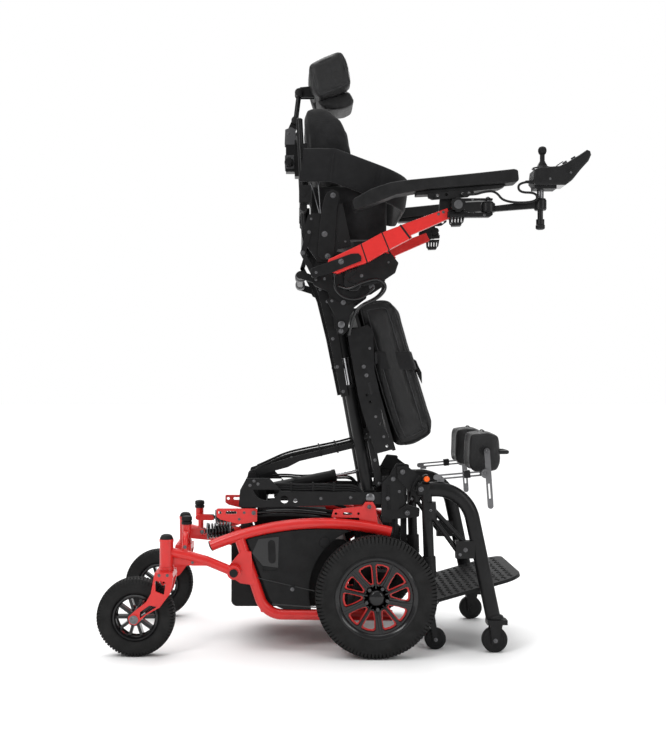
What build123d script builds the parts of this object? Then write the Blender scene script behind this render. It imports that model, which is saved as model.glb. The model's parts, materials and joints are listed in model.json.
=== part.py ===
from build123d import *
from math import atan2, cos, degrees, hypot, radians, sin
import os

# Standing power wheelchair in its raised pose. Millimetres, +X forward, +Y to the user's
# left, +Z up. The origin is on the floor, at the middle of the length and the width.
os.makedirs("parts", exist_ok=True)

# ---------------------------------------------------------------- driving dimensions
SIDES = {"right": -1, "left": 1}
fit = 0.4  # running clearance of a pin in its bore
touch = 0.3  # gap beside a soft pad

# Wheels
drive_x, drive_y = 99, 292
drive_radius, drive_width = 178, 76
drive_rim_radius, drive_bore = 118, 12
caster_x, caster_y = -605, 265
caster_radius, caster_width = 115, 60
caster_rim_radius, caster_axle = 68, 8
swivel_x = -516
support_x, support_y, support_radius, support_width = 456, 228, 38, 26
roller_x, roller_y, roller_radius, roller_width = 284, 190, 32, 26

# Side frames
frame_y, frame_tube = 215, 16
frame_rear, frame_crown, frame_front = (-389, 314), (-93, 381), (149, 355)
down_top, down_foot, rail_front = (-303, 335), (-226, 110), (150, 106)
down_bend = 70
cross_tube = 12
arm_pivot = (-318, 242)
arm_pivot_pin = 7

# Base lift plates, with the stand axis at the knee
plate_y, plate_thickness = 180, 8
knee_x, knee_z = 89, 455
knee_shaft = 10
actuator_pivot = (-244, 459)
strut_pivot = (-273, 513)

# Masts, carriage and seat
mast_lean = 10.3  # degrees back from upright
mast_y, mast_tube, mast_bore = 140, 18, 12.5
mast_length = 335
slide_rod = 11.5
carriage_start, carriage_end = 429, 520
carriage_tube = 19
beam_y, beam_width, beam_thickness = 164, 27, 5
seat_plate_y, seat_plate_thickness = 205, 5
hip = (0, 975)
hip_pin = 9
cushion_half_width = 190
cushion_outline = [
    (45, 1026), (62, 1046), (132, 1062), (168, 1041), (200, 930), (240, 800),
    (280, 665), (276, 640), (223, 612), (165, 600),
]
belt_low, belt_high, belt_thickness = 842, 896, 3

# Back
hip_plate_y, back_plate_y, upright_thickness = 217, 225, 6
recline = (-41, 1179)
recline_pin = 7
armrest_pivot = (-3, 1158)
armrest_y, armrest_width = 269, 34
arm_pad_y, arm_pad_width = 270, 74
back_half_width = 185

# Joystick
control_y = 285
swing_post = (427, 1310)
pod_post = (580, 1323)

# Headrest
head_low, head_high = (-137, 1633), (-126, 1722)

# Legs
leg_y, leg_tube = 228, 15
leg_pivot = (184, 535)
leg_pin = 8
leg_stud = (141, 454)
leg_travel = 40
foot_hinge, foot_front = (286, 144), (549, 219)
foot_half_width = 196

drive_z, caster_z = drive_radius, caster_radius


# ---------------------------------------------------------------- helpers
def side_plane(y):
    """The upright plane at y, drawn with x forward and z up."""
    return Plane.XZ.offset(-y)


def plate(outline, y, thickness, mode=Mode.ADD, corner=0):
    """A flat plate with this outline of (x, z) points, centred on y."""
    with BuildSketch(side_plane(y)) as face:
        with BuildLine():
            Polyline(*outline, close=True)
        make_face()
        if corner:
            fillet(face.vertices(), corner)
    extrude(face.sketch, amount=thickness / 2, both=True, mode=mode)


def pin(centre, radius, y_a, y_b, mode=Mode.ADD):
    """A round bar across the chair between two values of y."""
    with BuildSketch(side_plane(max(y_a, y_b))) as disc:
        with Locations(centre):
            Circle(radius)
    extrude(disc.sketch, amount=abs(y_b - y_a), mode=mode)


def bar(start, end, radius, bore=0, mode=Mode.ADD):
    """A straight round bar or tube."""
    run = Vector(*end) - Vector(*start)
    with BuildSketch(Plane(origin=start, z_dir=run)) as section:
        Circle(radius)
        if bore:
            Circle(bore, mode=Mode.SUBTRACT)
    extrude(section.sketch, amount=run.length, mode=mode)


def bent_bar(points, bend, radius, mode=Mode.ADD):
    """A round bar along points, with an arc of radius bend at each corner."""
    with BuildLine() as path:
        FilletPolyline(*points, radius=bend)
    with BuildSketch(Plane(origin=path.line @ 0, z_dir=path.line % 0)) as section:
        Circle(radius)
    sweep(section.sketch, path=path.line, mode=mode)


def block(low, high, mode=Mode.ADD):
    """A box between two corners."""
    size = Vector(*high) - Vector(*low)
    with Locations((Vector(*low) + Vector(*high)) / 2):
        Box(size.X, size.Y, size.Z, mode=mode)


def strap(start, end, width, y, thickness, mode=Mode.ADD):
    """A flat link between two (x, z) points, with round ends."""
    run = Vector(end[0] - start[0], end[1] - start[1])
    middle = ((start[0] + end[0]) / 2, (start[1] + end[1]) / 2)
    with BuildSketch(side_plane(y)) as face:
        with Locations(Location(middle, degrees(atan2(run.Y, run.X)))):
            SlotCenterToCenter(run.length, width)
    extrude(face.sketch, amount=thickness / 2, both=True, mode=mode)


def on_mast(along, ahead=0):
    """The (x, z) point this far up the mast's line and ahead of it."""
    lean = radians(mast_lean)
    x = knee_x - along * sin(lean) + ahead * cos(lean)
    return x, knee_z + along * cos(lean) + ahead * sin(lean)


def at(point, y):
    """The space point of an (x, z) point at y."""
    return point[0], y, point[1]


def arc_centre(a, b, c):
    """The centre of the circle through three points."""
    d = 2 * (a[0] * (b[1] - c[1]) + b[0] * (c[1] - a[1]) + c[0] * (a[1] - b[1]))
    sq = [p[0] ** 2 + p[1] ** 2 for p in (a, b, c)]
    x = (sq[0] * (b[1] - c[1]) + sq[1] * (c[1] - a[1]) + sq[2] * (a[1] - b[1])) / d
    z = (sq[0] * (c[0] - b[0]) + sq[1] * (a[0] - c[0]) + sq[2] * (b[0] - a[0])) / d
    return x, z


# ---------------------------------------------------------------- base
rail_centre = arc_centre(frame_rear, frame_crown, frame_front)
rail_radius = hypot(frame_rear[0] - rail_centre[0], frame_rear[1] - rail_centre[1])
frame_outer = frame_y + frame_tube
arm_y = frame_outer + 20  # middle of the swing arm, outboard of the frame
arm_tube = 14


def rail_height(x):
    """Height of the top rail's middle line at x."""
    return rail_centre[1] + (rail_radius**2 - (x - rail_centre[0]) ** 2) ** 0.5


shock_y = 166
shock_tail, shock_nose = (-419, 351), (-322, 357)
floor_cross_z = 107
rear_cross = (-290, rail_height(-290))
front_cross = (120, rail_height(120))
with BuildPart() as side_frames:
    for sign in SIDES.values():
        y = sign * frame_y
        with BuildLine() as rail:
            ThreePointArc(at(frame_rear, y), at(frame_crown, y), at(frame_front, y))
        with BuildSketch(Plane(origin=rail.line @ 0, z_dir=rail.line % 0)) as section:
            Circle(frame_tube)
        sweep(section.sketch, path=rail.line)
        bent_bar([at(down_top, y), at(down_foot, y), at(rail_front, y)], down_bend, frame_tube)
        gusset = [(-262, 200), (-240, 118), (-190, 104), (-196, 118), (-228, 150)]
        plate(gusset, y, 12)
        lug = [(-336, 228), (-334, 258), (-300, 300), (-268, 300), (-262, 200), (-300, 205)]
        plate(lug, sign * (frame_outer - 3), 8, corner=4)
        pin(arm_pivot, arm_pivot_pin, sign * frame_outer, sign * (arm_y + 20))
        pin(arm_pivot, 13, sign * (arm_y + 17), sign * (arm_y + 22))
        for shift in (-7, 7):
            strap(rear_cross, shock_nose, 18, sign * shock_y + shift, 4)
        pin(shock_nose, 5, sign * (shock_y - 9), sign * (shock_y + 9))
    for centre in (rear_cross, front_cross, (-150, floor_cross_z), (60, floor_cross_z)):
        pin(centre, cross_tube, -frame_y, frame_y)
side_frames.part.label = "side_frames"
export_step(side_frames.part, "parts/side_frames.step")

plate_outer = plate_y + plate_thickness / 2
plate_inner = plate_y - plate_thickness / 2
with BuildPart() as base_plates:
    outline = [
        (-308, 430), (-304, 478), (-285, 513), (-215, 513), (-178, 474), (154, 470),
        (154, 436), (-178, 427), (-270, 425),
        (-272, rear_cross[1] + cross_tube), (-302, rear_cross[1] + cross_tube), (-300, 425),
    ]
    for sign in SIDES.values():
        y = sign * plate_y
        plate(outline, y, plate_thickness)
        with BuildSketch(side_plane(y)) as window:
            with BuildLine():
                ThreePointArc((-265, 479), (-225, 446), (-184, 479))
                Line((-184, 479), (-265, 479))
            make_face()
            with Locations((-170, 449)):
                Circle(12)
            with Locations((-137, 445)):
                Circle(6)
        extrude(window.sketch, amount=plate_thickness, both=True, mode=Mode.SUBTRACT)
        guide_rear, guide_front = leg_stud[0] - 16, leg_stud[0] + 14
        guide = [(guide_rear, 380), (guide_front, 380), (guide_front, 520), (guide_rear, 520)]
        plate(guide, y, plate_thickness)
        slot_top = (leg_stud[0], leg_stud[1] + leg_travel)
        strap(leg_stud, slot_top, 13, y, plate_thickness + 2, Mode.SUBTRACT)
        pin((knee_x, knee_z), 14, y, sign * (plate_outer + 3.5))
    pin((knee_x, knee_z), knee_shaft, -plate_y, plate_y)
    floor_top = 432
    block((-302, -plate_inner, 423), (-228, plate_inner, floor_top))
    for sign in SIDES.values():
        ear = [(-268, floor_top - 1), (-228, floor_top - 1), (-232, 470), (-256, 470)]
        plate(ear, sign * 26, 6)
        ear = [(-302, floor_top - 1), (-250, floor_top - 1), (-262, 523), (-284, 523)]
        plate(ear, sign * 81, 6)
        pin(strut_pivot, 6, sign * 62, sign * 81)
    pin(actuator_pivot, 6, -28, 28)
base_plates.part.label = "base_plates"
export_step(base_plates.part, "parts/base_plates.step")

with BuildPart() as battery_box:
    block((-332, -160, 122), (22, 160, 326))
    fillet(battery_box.edges().filter_by(Axis.Y), 18)
    with Locations((-150, 0, 326)):
        Box(230, 250, 12, align=(Align.CENTER, Align.CENTER, Align.MIN))
    block((-262, -120, 338), (-40, 120, 392))
    block((-170, -150, floor_cross_z + cross_tube), (-130, 150, 124))
    block((10, -150, floor_cross_z + cross_tube), (80, 150, 126))
battery_box.part.label = "battery_box"
export_step(battery_box.part, "parts/battery_box.step")

with BuildPart() as motors:
    for sign in SIDES.values():
        pin((drive_x, drive_z), 44, sign * 30, sign * 195)
        pin((drive_x, drive_z), 34, sign * 195, sign * 238)
        pin((drive_x, drive_z), drive_bore, sign * 238, sign * (drive_y + 22))
        block_y = sorted((sign * 150, sign * 196))
        block((40, block_y[0], 130), (150, block_y[1], 232))
        hanger = [(60, 220), (104, 220), (104, 370), (60, 370)]
        plate(hanger, sign * 195.4, 6.8)
motors.part.label = "motors"
export_step(motors.part, "parts/motors.step")

shroud_thickness = 18
arch = drive_radius + 18
with BuildPart() as shrouds:
    for sign in SIDES.values():
        with BuildSketch(side_plane(sign * frame_y)) as panel:
            with BuildLine():
                Polyline(
                    (-285, 345), (-202, 126), (30, 126), (149, 300), (149, 400), (-285, 400), close=True
                )
            make_face()
            fillet(panel.vertices().sort_by(Axis.X)[2:3], 60)
            with Locations(rail_centre):
                Circle(rail_radius - frame_tube - 1, mode=Mode.INTERSECT)
            with Locations((drive_x, drive_z)):
                Circle(arch, mode=Mode.SUBTRACT)
        extrude(panel.sketch, amount=shroud_thickness / 2, both=True)
        face_y = sign * (frame_y + shroud_thickness / 2)
        with BuildSketch(side_plane(face_y)) as recess:
            with BuildLine():
                Polyline((-250, 300), (-196, 312), (-192, 240), (-232, 240), close=True)
            make_face()
        extrude(recess.sketch, amount=3, both=True, mode=Mode.SUBTRACT)
        pin((-146, 186), 12, sign * frame_y, sign * (frame_y + shroud_thickness / 2 + 2))
shrouds.part.label = "shrouds"
export_step(shrouds.part, "parts/shrouds.step")

tie_hole = 5
tie_hole_x, tie_hole_z = -364, 411
bracket_y = plate_outer + 8
with BuildPart() as tie_down_brackets:
    for sign in SIDES.values():
        rear = [(-374, 398), (-374, 423), (-252, 423), (-252, 384), (-305, 376), (-362, 390)]
        plate(rear, sign * bracket_y, 8, corner=4)
        pin((-262, 411), 9, sign * (plate_outer + 0.5), sign * (bracket_y + 8))
        with BuildSketch(side_plane(sign * bracket_y)) as holes:
            with Locations((tie_hole_x, tie_hole_z)):
                Circle(tie_hole)
            with Locations((-330, 411)):
                SlotOverall(34, 9)
            with Locations((-291, 411), (-306, 391)):
                Circle(3.5)
        extrude(holes.sketch, amount=5, both=True, mode=Mode.SUBTRACT)
        front = [
            (-29, 398), (-22, 420), (64, 430), (74, 443), (96, 443), (104, 430),
            (112, 372), (58, 384), (54, 396), (-22, 396),
        ]
        plate(front, sign * (bracket_y + 1), 10)
        pin((85, 429), 9, sign * plate_outer, sign * (bracket_y + 10))
        with BuildSketch(side_plane(sign * (bracket_y + 1))) as holes:
            with Locations((-15, 408), (53, 408)):
                Circle(4)
            with Locations((20, 408)):
                SlotOverall(28, 8)
        extrude(holes.sketch, amount=6, both=True, mode=Mode.SUBTRACT)
tie_down_brackets.part.label = "tie_down_brackets"
export_step(tie_down_brackets.part, "parts/tie_down_brackets.step")

# The shocks run from the rear cross tube to the ears on the swing arms.
with BuildPart() as shocks:
    for sign in SIDES.values():
        y = sign * shock_y
        bar(at(shock_tail, y), at(shock_nose, y), 4.8)
        bar((-400, y, 352.2), (-340, y, 355.9), 21)
        bar((-340, y, 355.9), (-334, y, 356.3), 24)
        bar((-406, y, 351.8), (-400, y, 352.2), 24)
        for centre in (shock_tail, shock_nose):
            pin(centre, 10, y - 5, y + 5)
            pin(centre, 5 + fit, y - 6, y + 6, Mode.SUBTRACT)
shocks.part.label = "shocks"
export_step(shocks.part, "parts/shocks.step")

# ---------------------------------------------------------------- rear casters
shock_ear_y = (shock_y - 9, shock_y + 9)
tube_low, tube_top = 262, 334
for side, sign in SIDES.items():
    y = sign * arm_y
    head_y = sign * caster_y
    with BuildPart() as swing_arm:
        path = [
            at(arm_pivot, y), (-400, y, 276), (-455, sign * (arm_y + 4), 292), (swivel_x, head_y, 306)
        ]
        bent_bar(path, 60, arm_tube)
        pin(arm_pivot, 20, sign * (arm_y - 13), sign * (arm_y + 15))
        bar((swivel_x, head_y, tube_low), (swivel_x, head_y, tube_top), 20)
        web = [(-500, 268), (-440, 262), (-380, 262), (-420, 280), (-500, 300)]
        plate(web, sign * (arm_y + 6), 6)
        hoop_y = sign * (arm_y + 3)
        hoop_end = (-462, sign * (shock_y - 11), 352)
        bent_bar([(-462, hoop_y, 292), (-462, hoop_y, 352), hoop_end], 24, 9)
        for ear_y in shock_ear_y:
            strap((-462, 352), shock_tail, 18, sign * ear_y, 5)
        pin(shock_tail, 5, sign * (shock_y - 9), sign * (shock_y + 9))
        bar((-462, sign * 210, 352), (-462, sign * 210, 378), 13)
        bore = 12 + fit
        bar((swivel_x, head_y, tube_low), (swivel_x, head_y, tube_top), bore, mode=Mode.SUBTRACT)
        bore = arm_pivot_pin + fit
        pin(arm_pivot, bore, sign * (arm_y - 15), sign * (arm_y + 16), Mode.SUBTRACT)
    swing_arm.part.label = f"swing_arm_{side}"
    export_step(swing_arm.part, f"parts/swing_arm_{side}.step")

    with BuildPart() as caster_fork:
        bar((swivel_x, head_y, 240), (swivel_x, head_y, tube_top + 8), 12)
        bar((swivel_x, head_y, tube_top + fit), (swivel_x, head_y, tube_top + 8), 21)
        bar((swivel_x, head_y, 240), (swivel_x, head_y, tube_low - fit), 22)
        crown = [(-545, 236), (-545, 250), (-494, 250), (-490, 236)]
        plate(crown, head_y, 96)
        blade = [
            (-545, 250), (-492, 250), (-492, 225), (-500, 190), (-530, 150), (-570, 128),
            (-600, 98), (-618, 102), (-622, 122), (-600, 142), (-570, 165), (-556, 190),
        ]
        for shift in (-44, 44):
            plate(blade, head_y + shift, 8)
        with BuildSketch(side_plane(head_y)) as windows:
            with BuildLine():
                Polyline((-544, 228), (-512, 224), (-518, 186), (-542, 196), close=True)
            make_face()
            with BuildLine():
                Polyline((-588, 136), (-560, 156), (-538, 152), (-572, 130), (-588, 118), close=True)
            make_face()
        extrude(windows.sketch, amount=60, both=True, mode=Mode.SUBTRACT)
        pin((caster_x, caster_z), 14, head_y - 52, head_y - 36)
        pin((caster_x, caster_z), 14, head_y + 36, head_y + 52)
        pin((caster_x, caster_z), caster_axle, head_y - 52, head_y + 52)
    caster_fork.part.label = f"caster_fork_{side}"
    export_step(caster_fork.part, f"parts/caster_fork_{side}.step")

    with BuildPart() as caster_tyre:
        half = caster_width / 2
        hub = (caster_x, head_y, caster_z)
        with BuildSketch(Plane(origin=hub, z_dir=(1, 0, 0), x_dir=(0, 1, 0))) as tread:
            with BuildLine():
                Polyline(
                    (-half + 8, caster_rim_radius), (-half, caster_rim_radius + 12),
                    (-half, caster_radius - 20), (-half + 10, caster_radius - 4),
                )
                ThreePointArc(
                    (-half + 10, caster_radius - 4), (0, caster_radius), (half - 10, caster_radius - 4)
                )
                Polyline(
                    (half - 10, caster_radius - 4), (half, caster_radius - 20),
                    (half, caster_rim_radius + 12), (half - 8, caster_rim_radius),
                    (-half + 8, caster_rim_radius),
                )
            make_face()
        revolve(tread.sketch, axis=Axis(hub, (0, 1, 0)))
    caster_tyre.part.label = f"caster_tyre_{side}"
    export_step(caster_tyre.part, f"parts/caster_tyre_{side}.step")

    with BuildPart() as caster_rim:
        pin((caster_x, caster_z), caster_rim_radius, head_y - 22, head_y + 22)
        pin((caster_x, caster_z), caster_rim_radius - 8, head_y - 22, head_y + 22, Mode.SUBTRACT)
        pin((caster_x, caster_z), 22, head_y - 35, head_y + 35)
        with BuildSketch(side_plane(head_y)) as spokes:
            with Locations((caster_x, caster_z)):
                with PolarLocations(0, 10):
                    with Locations((40, 0)):
                        Rectangle(48, 9)
        extrude(spokes.sketch, amount=14, both=True)
        pin((caster_x, caster_z), caster_axle + fit, head_y - 40, head_y + 40, Mode.SUBTRACT)
    caster_rim.part.label = f"caster_rim_{side}"
    export_step(caster_rim.part, f"parts/caster_rim_{side}.step")

# ---------------------------------------------------------------- drive wheels
for side, sign in SIDES.items():
    y = sign * drive_y
    axle = Axis((drive_x, y, drive_z), (0, 1, 0))
    radial = Plane(origin=(drive_x, y, drive_z), z_dir=(1, 0, 0), x_dir=(0, 1, 0))
    with BuildPart() as drive_tyre:
        half = drive_width / 2
        with BuildSketch(radial) as tread:
            with BuildLine():
                Polyline(
                    (-half + 10, drive_rim_radius), (-half, drive_rim_radius + 20),
                    (-half, drive_radius - 26), (-half + 13, drive_radius - 5),
                )
                ThreePointArc(
                    (-half + 13, drive_radius - 5), (0, drive_radius), (half - 13, drive_radius - 5)
                )
                Polyline(
                    (half - 13, drive_radius - 5), (half, drive_radius - 26),
                    (half, drive_rim_radius + 20), (half - 10, drive_rim_radius),
                    (-half + 10, drive_rim_radius),
                )
            make_face()
        revolve(tread.sketch, axis=axle)
    drive_tyre.part.label = f"drive_tyre_{side}"
    export_step(drive_tyre.part, f"parts/drive_tyre_{side}.step")

    with BuildPart() as drive_rim:
        centre = (drive_x, drive_z)
        pin(centre, drive_rim_radius, y - 28, y + 28)
        pin(centre, drive_rim_radius - 14, y - 28, y + 28, Mode.SUBTRACT)
        pin(centre, 42, y - sign * 14, y + sign * 24)
        pin(centre, 22, y, y + sign * 34)
        with BuildSketch(side_plane(y + sign * 14)) as spokes:
            with Locations(centre):
                with PolarLocations(0, 10):
                    with Locations((72, 0)):
                        Rectangle(76, 15)
        extrude(spokes.sketch, amount=8, both=True)
        pin(centre, drive_bore + fit, y - sign * 30, y + sign * 23, Mode.SUBTRACT)
    drive_rim.part.label = f"drive_rim_{side}"
    export_step(drive_rim.part, f"parts/drive_rim_{side}.step")

# ---------------------------------------------------------------- lift
actuator_eye = (78, 523)
rod_start = (-8, 507)
with BuildPart() as lift_actuator:
    bar(at(actuator_pivot, 0), at(rod_start, 0), 18)
    block((-205, -19, 446), (-90, 19, 474))
    pin(actuator_pivot, 14, -17, 17)
    pin(actuator_pivot, 6 + fit, -30, 30, Mode.SUBTRACT)
    bar((-190, 0, 469.73), at(actuator_eye, 0), 7, mode=Mode.SUBTRACT)
lift_actuator.part.label = "lift_actuator"
export_step(lift_actuator.part, "parts/lift_actuator.step")

with BuildPart() as lift_rod:
    bar((-110, 0, 485.6), at(actuator_eye, 0), 6)
    pin(actuator_eye, 12, -11, 11)
    pin(actuator_eye, 6, -12, 12, Mode.SUBTRACT)
lift_rod.part.label = "lift_rod"
export_step(lift_rod.part, "parts/lift_rod.step")

strut_front = (48, 607)
with BuildPart() as guide_strut:
    for sign in SIDES.values():
        y = sign * 70
        deep = [(-284, 504), (-282, 526), (-160, 566), (-122, 574), (-118, 560), (-160, 538)]
        plate(deep, y, 8)
        strap((-140, 562), strut_front, 18, y, 8)
        pin(strut_pivot, 6 + fit, y - 5, y + 5, Mode.SUBTRACT)
    pin((-150, 556), 7, -70, 70)
guide_strut.part.label = "guide_strut"
export_step(guide_strut.part, "parts/guide_strut.step")

with BuildPart() as masts:
    for sign in SIDES.values():
        y = sign * mast_y
        bar(at(on_mast(0), y), at(on_mast(mast_length), y), mast_tube)
        pin((knee_x, knee_z), 24, y - 18, y + 18)
        for along in (34, 178):
            bar(at(on_mast(along), y), at(on_mast(along, 36), y), 9)
        low, high = on_mast(26, 25), on_mast(190, 25)
        far_low, far_high = on_mast(26, 47), on_mast(190, 47)
        plate([low, high, far_high, far_low], y, 24)
        pin(strut_front, 8, sign * 84, sign * 124)
        bar(at(on_mast(90), y), at(on_mast(mast_length + 1), y), mast_bore, mode=Mode.SUBTRACT)
    pin((knee_x, knee_z), 22, -mast_y, mast_y)
    for sign in SIDES.values():
        strap((knee_x, knee_z), actuator_eye, 26, sign * 17, 6)
        pin(actuator_eye, 5, sign * 12.5, sign * 17)
    pin((knee_x, knee_z), knee_shaft + fit, -plate_y, plate_y, Mode.SUBTRACT)
masts.part.label = "masts"
export_step(masts.part, "parts/masts.step")

with BuildPart() as slide_rods:
    for sign in SIDES.values():
        y = sign * mast_y
        bar(at(on_mast(mast_length - 150), y), at(on_mast(carriage_start), y), slide_rod)
slide_rods.part.label = "slide_rods"
export_step(slide_rods.part, "parts/slide_rods.step")

# The seat pan lies along the cushion's underside, from its lower to its upper edge.
pan_low, pan_high = cushion_outline[-1], cushion_outline[0]
pan_thickness = 10
pan_run = Vector(pan_high[0] - pan_low[0], pan_high[1] - pan_low[1])
pan_back = Vector(-pan_run.Y, pan_run.X).normalized()


def behind_cushion(point, gap):
    """A point moved back from the cushion's underside by gap."""
    return point[0] + pan_back.X * gap, point[1] + pan_back.Y * gap


def pan_rear(height):
    """The (x, z) point at this height on the rear face of the seat pan, less a touch."""
    share = (height - pan_low[1]) / pan_run.Y
    return pan_low[0] + share * pan_run.X - (pan_thickness + touch) / abs(pan_back.X), height


beam_foot = (12, 758)
with BuildPart() as carriage:
    for sign in SIDES.values():
        y = sign * mast_y
        bar(at(on_mast(carriage_start), y), at(on_mast(carriage_end), y), carriage_tube)
        pin(hip, 16, sign * 124, sign * 175)
        pin(hip, hip_pin, sign * 150, sign * 235)
        beam = [
            (beam_foot[0] - 10, beam_foot[1]), (beam_foot[0] + 12, beam_foot[1] + 4),
            (8, 860), (-8, 960), (-22, 1020), (-44, 1080), (-66, 1120), (-86, 1120),
            (-66, 1068), (-36, 945),
        ]
        plate(beam, sign * beam_y, beam_thickness)
        for height in (850, 935):
            x = -10 - (height - 850) * 0.16
            pin((x, height), 8, sign * mast_y, sign * beam_y)
        for along in (440, 505):
            lug_low, lug_high = on_mast(along, 14), on_mast(along + 16, 14)
            plate([lug_low, lug_high, pan_rear(lug_high[1]), pan_rear(lug_low[1])], y, 14)
    pin(on_mast(500), 14, -mast_y, mast_y)
carriage.part.label = "carriage"
export_step(carriage.part, "parts/carriage.step")

with BuildPart() as seat_frame:
    pan = [behind_cushion(pan_low, touch), behind_cushion(pan_high, touch)]
    pan += [behind_cushion(pan_high, pan_thickness), behind_cushion(pan_low, pan_thickness)]
    plate(pan, 0, 2 * seat_plate_y)
    for sign in SIDES.values():
        side_plate = [
            (18, 958), (24, 918), (52, 762), (66, 706), (84, 652), (104, 588), (160, 603), (130, 665),
            (120, 720), (112, 790), (100, 840), (96, 960), (80, 975),
        ]
        plate(side_plate, sign * seat_plate_y, seat_plate_thickness)
        pin((68, 850), 7, sign * seat_plate_y, sign * (seat_plate_y + 5))
        pin((76, 824), 7, sign * seat_plate_y, sign * (seat_plate_y + 5))
        for centre in ((78, 765), (88, 744), (116, 678), (138, 612)):
            pin(centre, 4, sign * 200, sign * 210, Mode.SUBTRACT)
seat_frame.part.label = "seat_frame"
export_step(seat_frame.part, "parts/seat_frame.step")

with BuildPart() as seat_cushion:
    plate(cushion_outline, 0, 2 * cushion_half_width)
    fillet(seat_cushion.faces().sort_by(Axis.Y)[0].edges(), 14)
    fillet(seat_cushion.faces().sort_by(Axis.Y)[-1].edges(), 14)
seat_cushion.part.label = "seat_cushion"
export_step(seat_cushion.part, "parts/seat_cushion.step")

with BuildPart() as thigh_belt:
    with BuildSketch(side_plane(0)) as around:
        with BuildLine():
            Polyline(*cushion_outline, close=True)
        make_face()
        offset(amount=touch + belt_thickness)
    extrude(around.sketch, amount=cushion_half_width + touch + belt_thickness, both=True)
    with BuildSketch(side_plane(0)) as inside:
        with BuildLine():
            Polyline(*cushion_outline, close=True)
        make_face()
        offset(amount=touch)
    extrude(inside.sketch, amount=cushion_half_width + touch, both=True, mode=Mode.SUBTRACT)
    block((-100, -300, belt_high), (400, 300, 1200), Mode.SUBTRACT)
    block((-100, -300, 400), (400, 300, belt_low), Mode.SUBTRACT)
    block((-100, -300, 400), (112, 300, 1200), Mode.SUBTRACT)
thigh_belt.part.label = "thigh_belt"
export_step(thigh_belt.part, "parts/thigh_belt.step")

# ---------------------------------------------------------------- hip and back
hip_outer = hip_plate_y + upright_thickness / 2
back_outer = back_plate_y + upright_thickness / 2
push_bar_x, push_bar_z, push_bar = -122, 1124, 12
with BuildPart() as hip_brackets:
    for sign in SIDES.values():
        y = sign * hip_plate_y
        outline = [
            (-20, 970), (-12, 956), (14, 956), (22, 972), (30, 1040), (52, 1066), (62, 1090),
            (64, 1150), (40, 1186), (-58, 1200), (-72, 1180), (-92, 1116), (-80, 1092),
            (-40, 1074), (-28, 1040),
        ]
        plate(outline, y, upright_thickness)
        pin(hip, hip_pin + fit, sign * 200, sign * 240, Mode.SUBTRACT)
        pin(recline, recline_pin, y, sign * (back_outer + 4))
        pin(armrest_pivot, 8, y, sign * (armrest_y + 14))
        strap((-84, 1112), (push_bar_x, push_bar_z), 22, y, upright_thickness)
        strap((-20, 1006), (94, 1089), 15, sign * (hip_plate_y - 6), 6)
    pin((push_bar_x, push_bar_z), push_bar, -hip_plate_y, hip_plate_y)
hip_brackets.part.label = "hip_brackets"
export_step(hip_brackets.part, "parts/hip_brackets.step")

with BuildPart() as side_guards:
    for sign in SIDES.values():
        guard = [
            (14, 1104), (66, 1090), (118, 1100), (160, 1128), (170, 1158), (150, 1184),
            (90, 1196), (58, 1176), (44, 1128),
        ]
        plate(guard, sign * 233, 5, corner=5)
        pin((60, 1120), 7, sign * hip_outer, sign * 232)
        pin((56, 1160), 7, sign * hip_outer, sign * 232)
side_guards.part.label = "side_guards"
export_step(side_guards.part, "parts/side_guards.step")

cane_y = 150
band_thickness, band_height, band_half = 20, 100, 226
band_inner = band_half - band_thickness
band_rear, band_bend, band_front = -120, -24, 212
band_level = 1453
with BuildPart() as back_frame:
    for sign in SIDES.values():
        y = sign * back_plate_y
        upright = [
            (-99, 1302), (-84, 1307), (-52, 1306), (-46, 1370), (-25, 1379), (-7, 1370),
            (-1, 1331), (11, 1251), (30, 1206), (-10, 1200), (-28, 1162), (-70, 1162),
            (-112, 1222), (-112, 1262),
        ]
        plate(upright, y, upright_thickness)
        pin(recline, recline_pin + fit, sign * 210, sign * 240, Mode.SUBTRACT)
        strap((-112, 1248), (-104, 1216), 14, sign * (back_plate_y - 10), 6)
        bar((-105, sign * cane_y, 1225), (-125, sign * cane_y, 1600), 10)
        pin((-109, 1248), 10, sign * cane_y, sign * back_plate_y)
        pin((-115, 1368), 10, sign * cane_y, sign * back_plate_y)
        block_y = sorted((sign * (back_plate_y - 3), sign * (back_plate_y - 9)))
        block((-126, block_y[0], 1340), (-90, block_y[1], 1392))
    pin((-109, 1248), 10, -cane_y, cane_y)
    pin((-115, 1368), 10, -cane_y, cane_y)
    pin((-126, 1560), 10, -cane_y, cane_y)
    block((-140, -24, 1455), (-116, 24, 1570))
    for sign in SIDES.values():
        reach = sorted((sign * cane_y, sign * (band_inner - 0.1)))
        block((band_rear + 2, reach[0], 1484), (-101.2, reach[1], 1520))
back_frame.part.label = "back_frame"
export_step(back_frame.part, "parts/back_frame.step")

with BuildPart() as back_cushions:
    shape = [
        (-112, 1636), (-100, 1650), (-59, 1652), (-30, 1640), (4, 1606), (24, 1560),
        (36, 1500), (30, 1406), (-86, 1406), (-96, 1470),
    ]
    plate(shape, 0, 2 * back_half_width)
    fillet(back_cushions.faces().sort_by(Axis.Y)[0].edges(), 18)
    fillet(back_cushions.faces().sort_by(Axis.Y)[-1].edges(), 18)
    with BuildSketch(Plane.XY.offset(1228)) as plan:
        with BuildLine():
            Polyline(
                (-94.9, -184), (20, -190), (134, -188), (147, -174), (146, -160), (60, -130),
                (30, -80), (24, 0), (30, 80), (60, 130), (146, 160), (147, 174), (134, 188),
                (20, 190), (-94.9, 184), close=True,
            )
        make_face()
    extrude(plan.sketch, amount=172)
    wedge = [(120, 1220), (170, 1220), (170, 1300)]
    plate(wedge, 0, 460, Mode.SUBTRACT)
    wedge = [(100, 1410), (170, 1410), (170, 1370)]
    plate(wedge, 0, 460, Mode.SUBTRACT)
back_cushions.part.label = "back_cushions"
export_step(back_cushions.part, "parts/back_cushions.step")

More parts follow.
